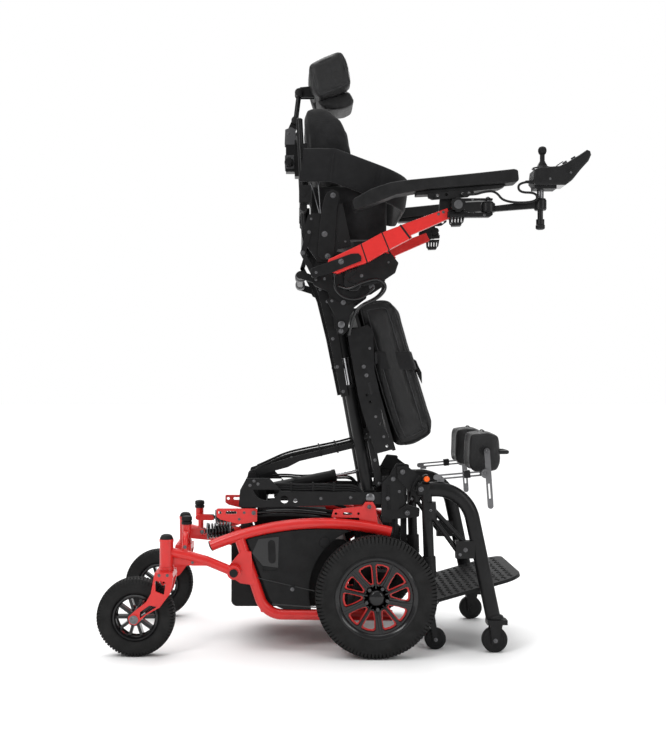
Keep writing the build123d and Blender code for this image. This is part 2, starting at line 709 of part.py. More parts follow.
with BuildPart() as chest_band:
    slope = Plane(
        origin=(band_bend, 0, band_level), x_dir=(0.933, 0, -0.36), z_dir=(0.36, 0, 0.933)
    )
    reach = 2 * (band_front - 30)
    with BuildSketch(slope) as loop:
        with Locations((58, 0)):
            RectangleRounded(reach, 2 * band_half, 90)
            RectangleRounded(
                reach - 2 * band_thickness, 2 * band_inner, 70, mode=Mode.SUBTRACT
            )
    extrude(loop.sketch, amount=band_height / 2, both=True)
    block((-400, -300, 1200), (band_bend, 300, 1700), Mode.SUBTRACT)
    for sign in SIDES.values():
        edges = sorted((sign * band_inner, sign * band_half))
        block(
            (band_rear, edges[0], band_level - band_height / 2),
            (band_bend, edges[1], band_level + band_height / 2),
        )
chest_band.part.label = "chest_band"
export_step(chest_band.part, "parts/chest_band.step")

# ---------------------------------------------------------------- armrests
knob_centre, knob_boss = (337, 1320), 12
for side, sign in SIDES.items():
    y = sign * armrest_y
    with BuildPart() as armrest:
        outer = [
            (-43, 1146), (-40, 1163), (56, 1208.5), (117, 1242), (177, 1265), (206, 1227),
            (139, 1192), (76, 1155), (24, 1138), (-12, 1122), (-30, 1128),
        ]
        plate(outer, y, armrest_width)
        inner = [(150, 1228), (172, 1264), (309, 1314), (322, 1287), (196, 1232)]
        plate(inner, y, armrest_width - 10)
        pin(armrest_pivot, 8 + fit, sign * 240, sign * (armrest_y + 15), Mode.SUBTRACT)
        rise = [(284, 1294), (314, 1290), (329, 1294), (329, 1341.8), (290, 1341.8)]
        plate(rise, y, 20)
        pin(knob_centre, knob_boss, sign * (armrest_y - 10), sign * (control_y + 9))
        if side == "right":
            for jaw in (
                [(308, 1285), (436, 1284), (440, 1290), (440, 1298), (308, 1303)],
                [(320, 1328), (400, 1333), (440, 1333), (440, 1341), (320, 1341)],
            ):
                plate(jaw, sign * (control_y - 3), 24)
            post_y = sign * control_y
            bar((swing_post[0], post_y, 1290), (swing_post[0], post_y, 1338), 7)
        pin(knob_centre, 6 + fit, sign * (armrest_y - 12), sign * (control_y + 13), Mode.SUBTRACT)
    armrest.part.label = f"armrest_{side}"
    export_step(armrest.part, f"parts/armrest_{side}.step")

    with BuildPart() as arm_pad:
        pad = [
            (30, 1325), (32, 1338), (86, 1368), (141, 1386), (190, 1394), (262, 1401),
            (400, 1414), (500, 1425), (512, 1422), (515, 1392), (488, 1384), (258, 1366),
            (214, 1360), (156, 1350), (96, 1326), (36, 1304),
        ]
        plate(pad, sign * arm_pad_y, arm_pad_width, corner=3)
        shoe = [(216, 1342.1), (470, 1342.1), (480, 1372), (478, 1384), (258, 1367), (216, 1361)]
        plate(shoe, sign * arm_pad_y, 44)
        clip_y = sorted((sign * 291, sign * (control_y + 25)))
        block((350, clip_y[0], 1342.1), (362, clip_y[1], 1356))
    arm_pad.part.label = f"arm_pad_{side}"
    export_step(arm_pad.part, f"parts/arm_pad_{side}.step")

    with BuildPart() as arm_knob:
        knob_y = sign * (control_y + 9.3)
        pin(knob_centre, 6, sign * (armrest_y - 8), knob_y)
        pin(knob_centre, 22, knob_y, knob_y + sign * 16)
        with BuildSketch(side_plane(knob_y + sign * 8)) as grips:
            with Locations(knob_centre):
                with PolarLocations(24, 6):
                    Circle(5)
        extrude(grips.sketch, amount=10, both=True, mode=Mode.SUBTRACT)
    arm_knob.part.label = f"arm_knob_{side}"
    export_step(arm_knob.part, f"parts/arm_knob_{side}.step")

# ---------------------------------------------------------------- joystick
y = -control_y
with BuildPart() as joystick_arm:
    bar((swing_post[0], y, 1300), (swing_post[0], y, 1331), 16)
    bar((pod_post[0], y, 1306), (pod_post[0], y, 1340), 16)
    bar((pod_post[0], y, 1276), (pod_post[0], y, 1306), 8)
    bar((pod_post[0], y, 1264), (pod_post[0], y, 1280), 12)
    plate([(438, 1302), (438, 1318), (568, 1334), (568, 1312)], y, 14)
    bar((swing_post[0], y, 1290), (swing_post[0], y, 1340), 7 + fit, mode=Mode.SUBTRACT)
    bar((pod_post[0], y, 1262), (pod_post[0], y, 1341), 5 + fit, mode=Mode.SUBTRACT)
joystick_arm.part.label = "joystick_arm"
export_step(joystick_arm.part, "parts/joystick_arm.step")

pod_outline = [
    (552, 1386), (556, 1420), (570, 1426), (628, 1430), (650, 1440), (686, 1462), (708, 1477),
    (717, 1473), (720, 1462), (712, 1444), (690, 1420), (666, 1390), (646, 1376), (560, 1376),
]
stick_base = (586, 1412)
button_axis = Vector(-0.5, 0, 0.86)
with BuildPart() as joystick_pod:
    plate(pod_outline, y, 78)
    fillet(joystick_pod.edges().filter_by(GeomType.LINE).filter_by(Axis.Y, reverse=True), 6)
    bar((stick_base[0], y, 1398), (stick_base[0], y, 1432), 24, mode=Mode.SUBTRACT)
    block((558, y - 26, 1366), (622, y + 26, 1376))
    bar((pod_post[0], y, 1340.4), (pod_post[0], y, 1368), 8)
    bar((pod_post[0], y, 1268), (pod_post[0], y, 1342), 5)
    for centre in ((650, y - 14, 1440), (682, y + 14, 1459)):
        start = Vector(*centre) - button_axis * 9
        bar(tuple(start), tuple(start + button_axis * 20), 7 + fit, mode=Mode.SUBTRACT)
joystick_pod.part.label = "joystick_pod"
export_step(joystick_pod.part, "parts/joystick_pod.step")

with BuildPart() as joystick_gimbal:
    pin((stick_base[0], 1416), 3.5, y - 23.6, y - 12)
    pin((stick_base[0], 1416), 3.5, y + 12, y + 23.6)
    bar((stick_base[0], y, 1410), (stick_base[0], y, 1422), 17)
    bar((stick_base[0], y, 1400), (stick_base[0], y, 1430), 10, mode=Mode.SUBTRACT)
joystick_gimbal.part.label = "joystick_gimbal"
export_step(joystick_gimbal.part, "parts/joystick_gimbal.step")

with BuildPart() as joystick_stick:
    bar((stick_base[0], y, 1408), (stick_base[0], y, 1458), 5)
    bar((stick_base[0] - 9.5, y, 1416), (stick_base[0] + 9.5, y, 1416), 3)
    with BuildSketch(Plane.XY.offset(1432)) as skirt:
        with Locations((stick_base[0], y)):
            Circle(17)
    extrude(skirt.sketch, amount=18, taper=32)
    with Locations((stick_base[0], y, 1480)):
        Sphere(12)
    bar((stick_base[0], y, 1450), (stick_base[0], y, 1474), 7)
joystick_stick.part.label = "joystick_stick"
export_step(joystick_stick.part, "parts/joystick_stick.step")

for name, centre in (("pod_button", (650, y - 14, 1440)), ("pod_toggle", (682, y + 14, 1459))):
    with BuildPart() as button:
        start = Vector(*centre) - button_axis * 6
        bar(tuple(start), tuple(start + button_axis * 13), 7)
    button.part.label = name
    export_step(button.part, f"parts/{name}.step")

# The lead from the pod to the armrest, clipped to the joystick arm.
lead_y = y - 21
lead_points = [
    (552, 1386), (512, 1386), (512, 1355), (566, 1355), (566, 1326), (470, 1326),
    (446, 1366), (404, 1367), (388, 1349), (362, 1349),
]
lead_radii = [15.4, 15.4, 14.4, 14.4, 30, 22, 18, 16]
with BuildPart() as joystick_cable:
    bent_bar([(x, lead_y, z) for x, z in lead_points], lead_radii, 3.5)
joystick_cable.part.label = "joystick_cable"
export_step(joystick_cable.part, "parts/joystick_cable.step")

# ---------------------------------------------------------------- headrest
with BuildPart() as headrest_post:
    block((-168, -20, 1470), (-140.1, 20, 1560))
    bar((-154, 0, 1560), (-154, 0, 1600), 9)
    block((-166, -16.5, 1586), (-140.1, 16.5, 1606))
    for sign in SIDES.values():
        strap((-150, 1604), head_low, 22, sign * 14, 5)
    pin(head_low, 6, -16, 16)
    pin((-158, 1497), 14, -38, -20)
headrest_post.part.label = "headrest_post"
export_step(headrest_post.part, "parts/headrest_post.step")

with BuildPart() as headrest_arm:
    bar(at(head_low, 0), at(head_high, 0), 8)
    pin(head_low, 12, -11, 11)
    pin(head_high, 12, -8, 8)
    pin(head_low, 6 + fit, -12, 12, Mode.SUBTRACT)
    pin(head_high, 5 + fit, -12, 12, Mode.SUBTRACT)
headrest_arm.part.label = "headrest_arm"
export_step(headrest_arm.part, "parts/headrest_arm.step")

with BuildPart() as headrest_pad:
    wing = [
        (-100, 1773), (-95, 1786), (-61, 1804), (-5, 1827), (10, 1822), (23, 1797),
        (38, 1732), (35, 1716), (17, 1704), (-55, 1676), (-67, 1676), (-83, 1695),
    ]
    for sign in SIDES.values():
        plate(wing, sign * 92, 66, corner=4)
    middle = [(-100, 1773), (-95, 1786), (-58, 1804), (-30, 1806), (-24, 1716), (-83, 1700)]
    plate(middle, 0, 124)
    nape = [
        (-78, 1716), (-66, 1670), (-46, 1658), (-17, 1654), (20, 1657), (45, 1670),
        (50, 1686), (34, 1716),
    ]
    plate(nape, 0, 150, corner=4)
    for sign in SIDES.values():
        ear = [(-132, 1712), (-120, 1710), (-80, 1712), (-82, 1742), (-122, 1738), (-134, 1726)]
        plate(ear, sign * 12, 6)
    pin(head_high, 5, -13, 13)
headrest_pad.part.label = "headrest_pad"
export_step(headrest_pad.part, "parts/headrest_pad.step")

# ---------------------------------------------------------------- legs
bracket_in = plate_outer + touch
with BuildPart() as knee_brackets:
    for sign in SIDES.values():
        cheek = [
            (122, 402), (152, 390), (236, 398), (238, 424), (196, 436), (190, 470),
            (204, 520), (206, 556), (168, 560), (148, 524), (124, 500),
        ]
        plate(cheek, sign * (bracket_in + 4), 8, corner=6)
        pin(leg_stud, 6, sign * (plate_inner - 2), sign * (bracket_in + 14))
        pin(leg_pivot, leg_pin, sign * bracket_in, sign * (leg_y - 14))
        pin((157, 512), 9, sign * bracket_in, sign * (bracket_in + 12))
        pin((200, 410), 10, sign * bracket_in, sign * (bracket_in + 13))
        for low, high in ((150, 174), (182, 200)):
            edges = sorted((sign * 160, sign * 172))
            block((low, edges[0], 300), (high, edges[1], 510))
        edges = sorted((sign * 160, sign * bracket_in))
        block((160, edges[0], 398), (206, edges[1], 424))
    pin((190, 411), 9, -165, 165)
knee_brackets.part.label = "knee_brackets"
export_step(knee_brackets.part, "parts/knee_brackets.step")

leg_plate_y = bracket_in + 8 + 10
leg_foot = (453, 104)
brace_collar, brace_clamp = (262, 424), (366, 306)
cheek_gap = support_width / 2 + 2
with BuildPart() as leg_frame:
    for sign in SIDES.values():
        y = sign * leg_y
        with BuildLine() as arch:
            FilletPolyline((228, y, 484), (372, y, 486), (455, y, 90), radius=110)
        with BuildSketch(Plane(origin=arch.line @ 0, x_dir=(0, 1, 0), z_dir=arch.line % 0)) as oval:
            Ellipse(leg_tube, 22)
        sweep(oval.sketch, path=arch.line)
        bar((253, y, 500), (266, y, 140), 16)
        hanger = [(168, 550), (196, 554), (240, 520), (246, 466), (218, 460), (170, 516)]
        plate(hanger, sign * leg_plate_y, 8)
        pin((236, 486), 14, sign * leg_plate_y, y)
        pin(leg_pivot, leg_pin + fit, sign * 190, sign * 240, Mode.SUBTRACT)
        bar((262, y, 446), (266, y, 396), 20)
        bar((264, y, 436), (374, y, 318), 7)
        bar((266, y, 410), (352, y, 292), 7)
        outer, inner = sorted((y - 14, y + 14))
        block((340, outer, 280), (396, inner, 332))
        outer, inner = sorted((y - 20, y + 20))
        block((432, outer, 84), (492, inner, 98))
        for shift in (-cheek_gap - 2, cheek_gap + 2):
            cheek = [(440, 86), (478, 86), (466, 28), (446, 28)]
            plate(cheek, y + shift, 4)
        pin((support_x, support_radius), 5, y - cheek_gap - 6, y + cheek_gap + 6)
        for shift in (-roller_width / 2 - 4, roller_width / 2 + 4):
            strap((266, 150), (roller_x, roller_radius), 16, sign * roller_y + shift, 4)
        pin((roller_x, roller_radius), 5, sign * roller_y - 20, sign * roller_y + 20)
        strap((266, 150), foot_hinge, 16, sign * (foot_half_width + 7), 5)
        pin(foot_hinge, 5, sign * (foot_half_width - 24), sign * (foot_half_width + 9))
    pin((266, 150), 10, -leg_y, leg_y)
    pin((252, 517), 12, -(leg_y + 16), -(leg_y - 12))
    pin((252, 517), 8 + fit, -(leg_y + 17), -leg_y, Mode.SUBTRACT)
leg_frame.part.label = "leg_frame"
export_step(leg_frame.part, "parts/leg_frame.step")

with BuildPart() as leg_release:
    pin((252, 517), 8, -(leg_y + 24), -(leg_y + 4))
leg_release.part.label = "leg_release"
export_step(leg_release.part, "parts/leg_release.step")

for side, sign in SIDES.items():
    with BuildPart() as support_wheel:
        y = sign * support_y
        pin((support_x, support_radius), support_radius, y - support_width / 2, y + support_width / 2)
        fillet(support_wheel.edges().filter_by(GeomType.CIRCLE), 6)
        pin((support_x, support_radius), 5 + fit, y - 30, y + 30, Mode.SUBTRACT)
    support_wheel.part.label = f"support_wheel_{side}"
    export_step(support_wheel.part, f"parts/support_wheel_{side}.step")
    with BuildPart() as roller:
        y = sign * roller_y
        pin((roller_x, roller_radius), roller_radius, y - roller_width / 2, y + roller_width / 2)
        fillet(roller.edges().filter_by(GeomType.CIRCLE), 6)
        pin((roller_x, roller_radius), 5 + fit, y - 30, y + 30, Mode.SUBTRACT)
    roller.part.label = f"roller_{side}"
    export_step(roller.part, f"parts/roller_{side}.step")

foot_run = Vector(foot_front[0] - foot_hinge[0], 0, foot_front[1] - foot_hinge[1])
foot_length = foot_run.length
foot_up = (-foot_run.Z, 0, foot_run.X)
foot_plane = Plane(origin=at(foot_hinge, 0), x_dir=foot_run, z_dir=foot_up)
with BuildPart() as footplate:
    with BuildSketch(foot_plane) as sole:
        with Locations((foot_length / 2, 0)):
            Rectangle(foot_length, 2 * foot_half_width)
        fillet(sole.vertices().group_by(Axis.X)[-1], 60)
    extrude(sole.sketch, amount=5, both=True)
    with BuildSketch(foot_plane.offset(-14)) as tray:
        with Locations((foot_length / 2 - 20, 0)):
            Rectangle(foot_length - 90, 2 * foot_half_width - 90)
    extrude(tray.sketch, amount=10)
    pin(foot_hinge, 10, -foot_half_width, foot_half_width)
    pin(foot_hinge, 5 + fit, -foot_half_width - 1, foot_half_width + 1, Mode.SUBTRACT)
footplate.part.label = "footplate"
export_step(footplate.part, "parts/footplate.step")

knee_pivot = (432, 599)
knee_post_y = leg_y + 10
with BuildPart() as knee_bars:
    for sign in SIDES.values():
        y = sign * leg_y
        strap((282, 520), (430, 533), 15, y, 8)
        strap((300, 521.6), (410, 531.2), 6, y, 10, Mode.SUBTRACT)
        block((286, y - 4, 507.3), (306, y + 4, 515))
        pin((427, 532.7), 7, y, sign * (knee_post_y + 5))
        strap((443, 436), knee_pivot, 17, sign * (knee_post_y), 6)
        strap((441, 460), (438, 500), 6, sign * (knee_post_y), 8, Mode.SUBTRACT)
        pin(knee_pivot, 5, sign * (leg_y - 24), sign * (knee_post_y + 6))
        pin((427, 532.7), 14, sign * (knee_post_y + 3), sign * (knee_post_y + 12))
knee_bars.part.label = "knee_bars"
export_step(knee_bars.part, "parts/knee_bars.step")

for side, sign in SIDES.items():
    with BuildPart() as knee_pad:
        pad = [(380, 545), (384, 652), (440, 656), (476, 646), (482, 560), (470, 534), (396, 530)]
        plate(pad, sign * 145, 126, corner=10)
        fillet(knee_pad.faces().sort_by(Axis.Y)[0].edges(), 8)
        fillet(knee_pad.faces().sort_by(Axis.Y)[-1].edges(), 8)
        pin(knee_pivot, 14, sign * 200, sign * 216)
        pin(knee_pivot, 5 + fit, sign * 202, sign * 218, Mode.SUBTRACT)
        tube_y = sorted((sign * 100, sign * 190))
        path = [
            (470, tube_y[0], 592), (503, tube_y[0], 592), (503, tube_y[1], 592), (470, tube_y[1], 592)
        ]
        bent_bar(path, 16, 6)
    knee_pad.part.label = f"knee_pad_{side}"
    export_step(knee_pad.part, f"parts/knee_pad_{side}.step")
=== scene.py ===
import json

import bmesh
import bpy
from math import atan2, copysign, cos, exp, pi, radians, sin, tau
from mathutils import Matrix, Vector

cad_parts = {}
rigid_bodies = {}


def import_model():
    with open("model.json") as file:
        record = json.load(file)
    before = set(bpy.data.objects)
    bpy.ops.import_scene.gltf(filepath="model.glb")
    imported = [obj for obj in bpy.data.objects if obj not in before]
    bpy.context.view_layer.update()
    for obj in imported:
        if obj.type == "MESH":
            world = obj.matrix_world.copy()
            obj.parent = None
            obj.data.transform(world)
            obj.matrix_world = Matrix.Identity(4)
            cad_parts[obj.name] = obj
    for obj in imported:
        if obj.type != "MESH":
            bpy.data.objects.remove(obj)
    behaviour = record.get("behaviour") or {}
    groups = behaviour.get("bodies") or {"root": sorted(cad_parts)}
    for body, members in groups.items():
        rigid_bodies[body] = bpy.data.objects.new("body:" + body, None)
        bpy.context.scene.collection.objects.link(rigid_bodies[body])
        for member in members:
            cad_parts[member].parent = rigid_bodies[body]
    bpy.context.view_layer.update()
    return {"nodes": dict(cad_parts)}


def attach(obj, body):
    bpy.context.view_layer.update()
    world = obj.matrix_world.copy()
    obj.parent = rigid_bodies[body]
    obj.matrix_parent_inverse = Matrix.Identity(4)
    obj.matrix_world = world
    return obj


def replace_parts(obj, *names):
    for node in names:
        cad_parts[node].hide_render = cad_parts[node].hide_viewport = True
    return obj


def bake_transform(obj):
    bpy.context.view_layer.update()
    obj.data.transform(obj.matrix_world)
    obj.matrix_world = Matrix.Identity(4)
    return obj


# A standing power wheelchair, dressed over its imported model. Lengths in the pieces below are
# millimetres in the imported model's frame: +X forward, +Y to the user's left, +Z up.
MM = 0.001
SIDES = {"right": -1, "left": 1}
UP = (0, 0, 1)

for leftover in list(bpy.data.objects):
    bpy.data.objects.remove(leftover)
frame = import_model()
scene = bpy.context.scene
nodes = frame["nodes"]


# ---------------------------------------------------------------- camera, floor and light
# Places of the camera and the lights are in metres.
EYE = (-0.123, -3.46, 0.813)
LENS = 52.08
LENS_SHIFT = (0.044, 0.00533)
AMBIENT = 0.45
SKY_POWER = 2.5
FLOOR_REACH = 30
# Each lamp: its place, the point that it faces, its width and height, and its power.
LAMPS = {
    "key": ((-1.9, -2.6, 2.6), (0, 0, 0.9), (0.9, 1.6), 42),
    "fill": ((2.4, -2.4, 1.6), (0, 0, 0.8), (0.8, 1.8), 22),
    "rim": ((0.6, 2.6, 2.8), (0, 0, 1.0), (2.0, 1.0), 30),
}


def camera():
    data = bpy.data.cameras.new("camera")
    data.lens = LENS
    data.shift_x, data.shift_y = LENS_SHIFT
    eye = bpy.data.objects.new("camera", data)
    eye.location = EYE
    eye.rotation_euler = (pi / 2, 0, 0)
    scene.collection.objects.link(eye)
    scene.camera = eye


def backdrop():
    """White behind the object for the camera, and a softer white as light."""
    world = bpy.data.worlds.new("studio")
    world.use_nodes = True
    tree = world.node_tree
    ambient = tree.nodes["Background"]
    ambient.inputs[0].default_value = (1, 1, 1, 1)
    ambient.inputs[1].default_value = AMBIENT
    paper = tree.nodes.new("ShaderNodeBackground")
    paper.inputs[0].default_value = (1, 1, 1, 1)
    mix = tree.nodes.new("ShaderNodeMixShader")
    path = tree.nodes.new("ShaderNodeLightPath")
    tree.links.new(path.outputs["Is Camera Ray"], mix.inputs[0])
    tree.links.new(ambient.outputs[0], mix.inputs[1])
    tree.links.new(paper.outputs[0], mix.inputs[2])
    tree.links.new(mix.outputs[0], tree.nodes["World Output"].inputs[0])
    scene.world = world


def floor():
    mesh = bpy.data.meshes.new("floor")
    corners = [(x * FLOOR_REACH, y * FLOOR_REACH, 0) for x, y in ((-1, -1), (1, -1), (1, 1), (-1, 1))]
    mesh.from_pydata(corners, [], [(0, 1, 2, 3)])
    ground = bpy.data.objects.new("floor", mesh)
    scene.collection.objects.link(ground)
    paint = bpy.data.materials.new("floor")
    paint.use_nodes = True
    shader = paint.node_tree.nodes["Principled BSDF"]
    set_inputs(shader, {"Base Color": (0.93, 0.93, 0.93, 1), "Roughness": 0.9, "Specular IOR Level": 0.1})
    mesh.materials.append(paint)


def lights():
    sky = bpy.data.lights.new("sky", "SUN")
    sky.energy = SKY_POWER
    sky.angle = radians(80)
    top = bpy.data.objects.new("sky", sky)
    top.rotation_euler = (radians(-14), radians(-8), 0)
    scene.collection.objects.link(top)
    for name, (place, target, size, power) in LAMPS.items():
        data = bpy.data.lights.new(name, "AREA")
        data.shape = "RECTANGLE"
        data.size, data.size_y = size
        data.energy = power
        lamp = bpy.data.objects.new(name, data)
        lamp.location = place
        lamp.rotation_euler = (Vector(target) - Vector(place)).to_track_quat("-Z", "Y").to_euler()
        scene.collection.objects.link(lamp)
    scene.view_settings.view_transform = "Standard"


# ---------------------------------------------------------------- materials
def linked(mat, kind, **settings):
    """A new node of this kind with its properties and named inputs set."""
    node = mat.node_tree.nodes.new(kind)
    for key, value in settings.items():
        if hasattr(node, key):
            setattr(node, key, value)
        else:
            node.inputs[key.replace("_", " ")].default_value = value
    return node


def set_inputs(node, values):
    for name, value in values.items():
        node.inputs[name].default_value = value


def grain_height(mat, coords, kind, scale):
    """The socket of a height for a bump: noise, leather, mesh, or a weave of three waves."""
    def textured(node):
        links.new(coords, node.inputs["Vector"])
        return node.outputs

    links = mat.node_tree.links
    if kind == "noise":
        return textured(linked(mat, "ShaderNodeTexNoise", Scale=scale, Detail=4.0, Roughness=0.6))["Fac"]
    if kind == "mesh":
        cells = linked(mat, "ShaderNodeTexVoronoi", feature="F1", Scale=scale, Randomness=0.15)
        return textured(cells)["Distance"]
    if kind == "leather":
        cells = linked(mat, "ShaderNodeTexVoronoi", feature="DISTANCE_TO_EDGE", Scale=scale)
        soft = linked(mat, "ShaderNodeMapRange")
        soft.inputs["From Max"].default_value = 0.18
        links.new(textured(cells)["Distance"], soft.inputs["Value"])
        return soft.outputs["Result"]
    total = None
    for direction in ("X", "Y", "Z"):
        wave = linked(mat, "ShaderNodeTexWave", bands_direction=direction, Scale=scale, Distortion=0.6)
        wave.inputs["Detail Scale"].default_value = 2.0
        height = textured(wave)["Fac"]
        if total:
            add = linked(mat, "ShaderNodeMath", operation="ADD")
            links.new(total, add.inputs[0])
            links.new(height, add.inputs[1])
            height = add.outputs[0]
        total = height
    return total


def surface(
    name, colour, rough, bumps=(), metallic=0.0, mottle=0.12, rough_spread=0.1, coat=0.0, sheen=0.0,
    dust=0.0, specular=0.17,
):
    """A material with its colour and roughness broken up by noise, and layers of bump.

    Each bump is its kind, its scale and its depth in metres."""
    mat = bpy.data.materials.new(name)
    mat.use_nodes = True
    tree = mat.node_tree
    links = tree.links
    shader = tree.nodes["Principled BSDF"]
    set_inputs(shader, {
        "Metallic": metallic, "Specular IOR Level": specular, "Coat Weight": coat,
        "Coat Roughness": 0.12, "Sheen Weight": sheen, "Sheen Roughness": 0.45,
    })
    coords = linked(mat, "ShaderNodeTexCoord").outputs["Object"]
    cloud = linked(mat, "ShaderNodeTexNoise", Scale=30, Detail=5.0, Roughness=0.62)
    links.new(coords, cloud.inputs["Vector"])
    ramp = linked(mat, "ShaderNodeValToRGB")
    dark = [c * (1 - mottle) for c in colour]
    light = [min(1, c * (1 + mottle) + dust) for c in colour]
    for stop, position, shade in zip(ramp.color_ramp.elements, (0.32, 0.72), (dark, light)):
        stop.position = position
        stop.color = (*shade, 1)
    links.new(cloud.outputs["Fac"], ramp.inputs["Fac"])
    links.new(ramp.outputs["Color"], shader.inputs["Base Color"])
    spread = linked(mat, "ShaderNodeMapRange")
    set_inputs(spread, {"To Min": max(0.02, rough - rough_spread), "To Max": min(1.0, rough + rough_spread)})
    links.new(cloud.outputs["Fac"], spread.inputs["Value"])
    links.new(spread.outputs["Result"], shader.inputs["Roughness"])
    normal = None
    for kind, scale, depth in bumps:
        bump = linked(mat, "ShaderNodeBump", Distance=depth, Strength=0.9)
        links.new(grain_height(mat, coords, kind, scale), bump.inputs["Height"])
        if normal:
            links.new(normal, bump.inputs["Normal"])
        normal = bump.outputs["Normal"]
    if normal:
        links.new(normal, shader.inputs["Normal"])
    return mat


def finish(slot, *settings, **more):
    """The material that surface makes, with the record's slot that it belongs to."""
    return surface(*settings, **more), slot


FINISH = {
    "red": finish("red_paint", "red_coat", (0.58, 0.012, 0.01), 0.36, [("noise", 900, 0.00012)],
                  mottle=0.06, coat=0.3, specular=0.4),
    "black": finish("black_paint", "black_coat", (0.006, 0.006, 0.0064), 0.36, [("noise", 1400, 0.00016)],
                    mottle=0.25, dust=0.002, coat=0.06),
    "plastic": finish("black_plastic", "black_plastic", (0.007, 0.007, 0.0074), 0.46,
                      [("noise", 2200, 0.0002)], mottle=0.25, dust=0.003),
    "gloss": finish("gloss_black", "gloss_black", (0.0062, 0.0062, 0.00682), 0.16, mottle=0.2,
                    rough_spread=0.04, coat=0.5),
    "rim": finish("gloss_black", "rim_black", (0.00744, 0.00744, 0.00806), 0.24, mottle=0.2, coat=0.4),
    "steel": finish("steel", "zinc_steel", (0.15, 0.15, 0.155), 0.34, [("noise", 700, 0.0001)],
                    metallic=1.0, mottle=0.18),
    "bolt": finish("steel", "bolt_steel", (0.13, 0.13, 0.135), 0.38, [("noise", 900, 0.0001)],
                   metallic=1.0, mottle=0.2),
    "chrome": finish("chrome", "chrome_rod", (0.72, 0.72, 0.74), 0.12, metallic=1.0, mottle=0.05,
                     rough_spread=0.04),
    "tyre": finish("tyre", "tyre_rubber", (0.009, 0.009, 0.009), 0.66, [("noise", 500, 0.0002)],
                   mottle=0.3, dust=0.004),
    "rubber": finish("rubber", "moulded_rubber", (0.008, 0.008, 0.0084), 0.56, [("noise", 1500, 0.0002)],
                     mottle=0.25, dust=0.003),
    "leather": finish("leather", "leatherette", (0.0065, 0.0065, 0.0069), 0.34,
                      [("leather", 380, 0.0005), ("noise", 45, 0.0012)],
                      mottle=0.25, dust=0.002, specular=0.32),
    "spacer": finish("fabric", "spacer_fabric", (0.00868, 0.00868, 0.0093), 0.85,
                     [("mesh", 330, 0.0009), ("noise", 70, 0.001)], mottle=0.3, sheen=0.12, dust=0.004),
    "band": finish("fabric", "padded_band", (0.00806, 0.00806, 0.00868), 0.82, [("mesh", 520, 0.0005)],
                   mottle=0.25, sheen=0.12, dust=0.002),
    "webbing": finish("fabric", "webbing", (0.00744, 0.00744, 0.00806), 0.7, [("weave", 260, 0.0004)],
                      mottle=0.2, sheen=0.2),
    "thread": finish("fabric", "thread", (0.03, 0.03, 0.032), 0.7, [("weave", 700, 0.0002)], sheen=0.2),
    "orange": finish("orange", "orange_plastic", (0.85, 0.12, 0.01), 0.3, mottle=0.05, coat=0.3),
    "grey": finish("steel", "grey_plastic", (0.07, 0.07, 0.073), 0.4, [("noise", 1800, 0.0001)], mottle=0.1),
    "red_plastic": finish("red_paint", "red_plastic", (0.6, 0.02, 0.02), 0.4, [("noise", 1500, 0.0001)],
                          mottle=0.06),
}


def dress(obj, key, body):
    """Gives a finished piece its material, and attaches it to its body when one is given."""
    material, slot_name = FINISH[key]
    obj.data.materials.clear()
    obj.data.materials.append(material)
    if body:
        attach(obj, body)
    return obj


def soften(obj, width=0.8, segments=2, angle=38):
    """Rounded, evenly shaded edges."""
    bevel = obj.modifiers.new("edges", "BEVEL")
    bevel.width = width * MM
    bevel.segments = segments
    bevel.limit_method = "ANGLE"
    bevel.angle_limit = radians(angle)
    shade = obj.modifiers.new("shade", "WEIGHTED_NORMAL")
    shade.weight = 60
    return obj


# ---------------------------------------------------------------- mesh helpers
def from_bmesh(name, bm, key, body, sharp=35):
    """A dressed piece from a bmesh, shaded smooth up to the sharp angle in degrees."""
    mesh = bpy.data.meshes.new(name)
    bmesh.ops.recalc_face_normals(bm, faces=bm.faces)
    bm.to_mesh(mesh)
    bm.free()
    mesh.shade_smooth()
    mesh.set_sharp_from_angle(angle=radians(sharp))
    obj = bpy.data.objects.new(name, mesh)
    scene.collection.objects.link(obj)
    return dress(obj, key, body)


def add_loft(bm, rings):
    """A solid between rings of vertices that follow each other, closed at both ends."""
    for low, high in zip(rings, rings[1:]):
        count = len(low)
        for k in range(count):
            bm.faces.new((low[k], low[(k + 1) % count], high[(k + 1) % count], high[k]))
    bm.faces.new(rings[0])
    bm.faces.new(list(reversed(rings[-1])))


def extruded(ring, travel):
    """A solid whose end is a ring of points in metres, carried along travel."""
    bm = bmesh.new()
    face = bm.faces.new([bm.verts.new(point) for point in ring])
    out = bmesh.ops.extrude_face_region(bm, geom=[face])
    moved = [item for item in out["geom"] if isinstance(item, bmesh.types.BMVert)]
    bmesh.ops.translate(bm, verts=moved, vec=travel)
    return bm


def add_lathe(bm, profile, centre, axis=(0, 1, 0), segments=48, sides=None):
    """Turns (radius, along) points in millimetres round an axis through centre.

    sides lists the indices of points that form a hexagon instead of a circle."""
    axis = Vector(axis).normalized()
    across = axis.orthogonal().normalized()
    other = axis.cross(across)
    centre = Vector(centre)
    rings = []
    for index, (radius, along) in enumerate(profile):
        ring = []
        for turn in range(1 if radius == 0 else segments):
            angle = tau * turn / segments
            reach = radius
            if sides and index in sides:
                reach = radius * cos(pi / 6) / cos((angle % (pi / 3)) - pi / 6)
            spot = centre + axis * along + (across * cos(angle) + other * sin(angle)) * reach
            ring.append(bm.verts.new(spot * MM))
        rings.append(ring)
    for low, high in zip(rings, rings[1:]):
        for turn in range(segments):
            quad = [low[turn % len(low)], low[(turn + 1) % len(low)]]
            quad += [high[(turn + 1) % len(high)], high[turn % len(high)]]
            corners = list(dict.fromkeys(quad))
            if len(corners) > 2:
                bm.faces.new(corners)


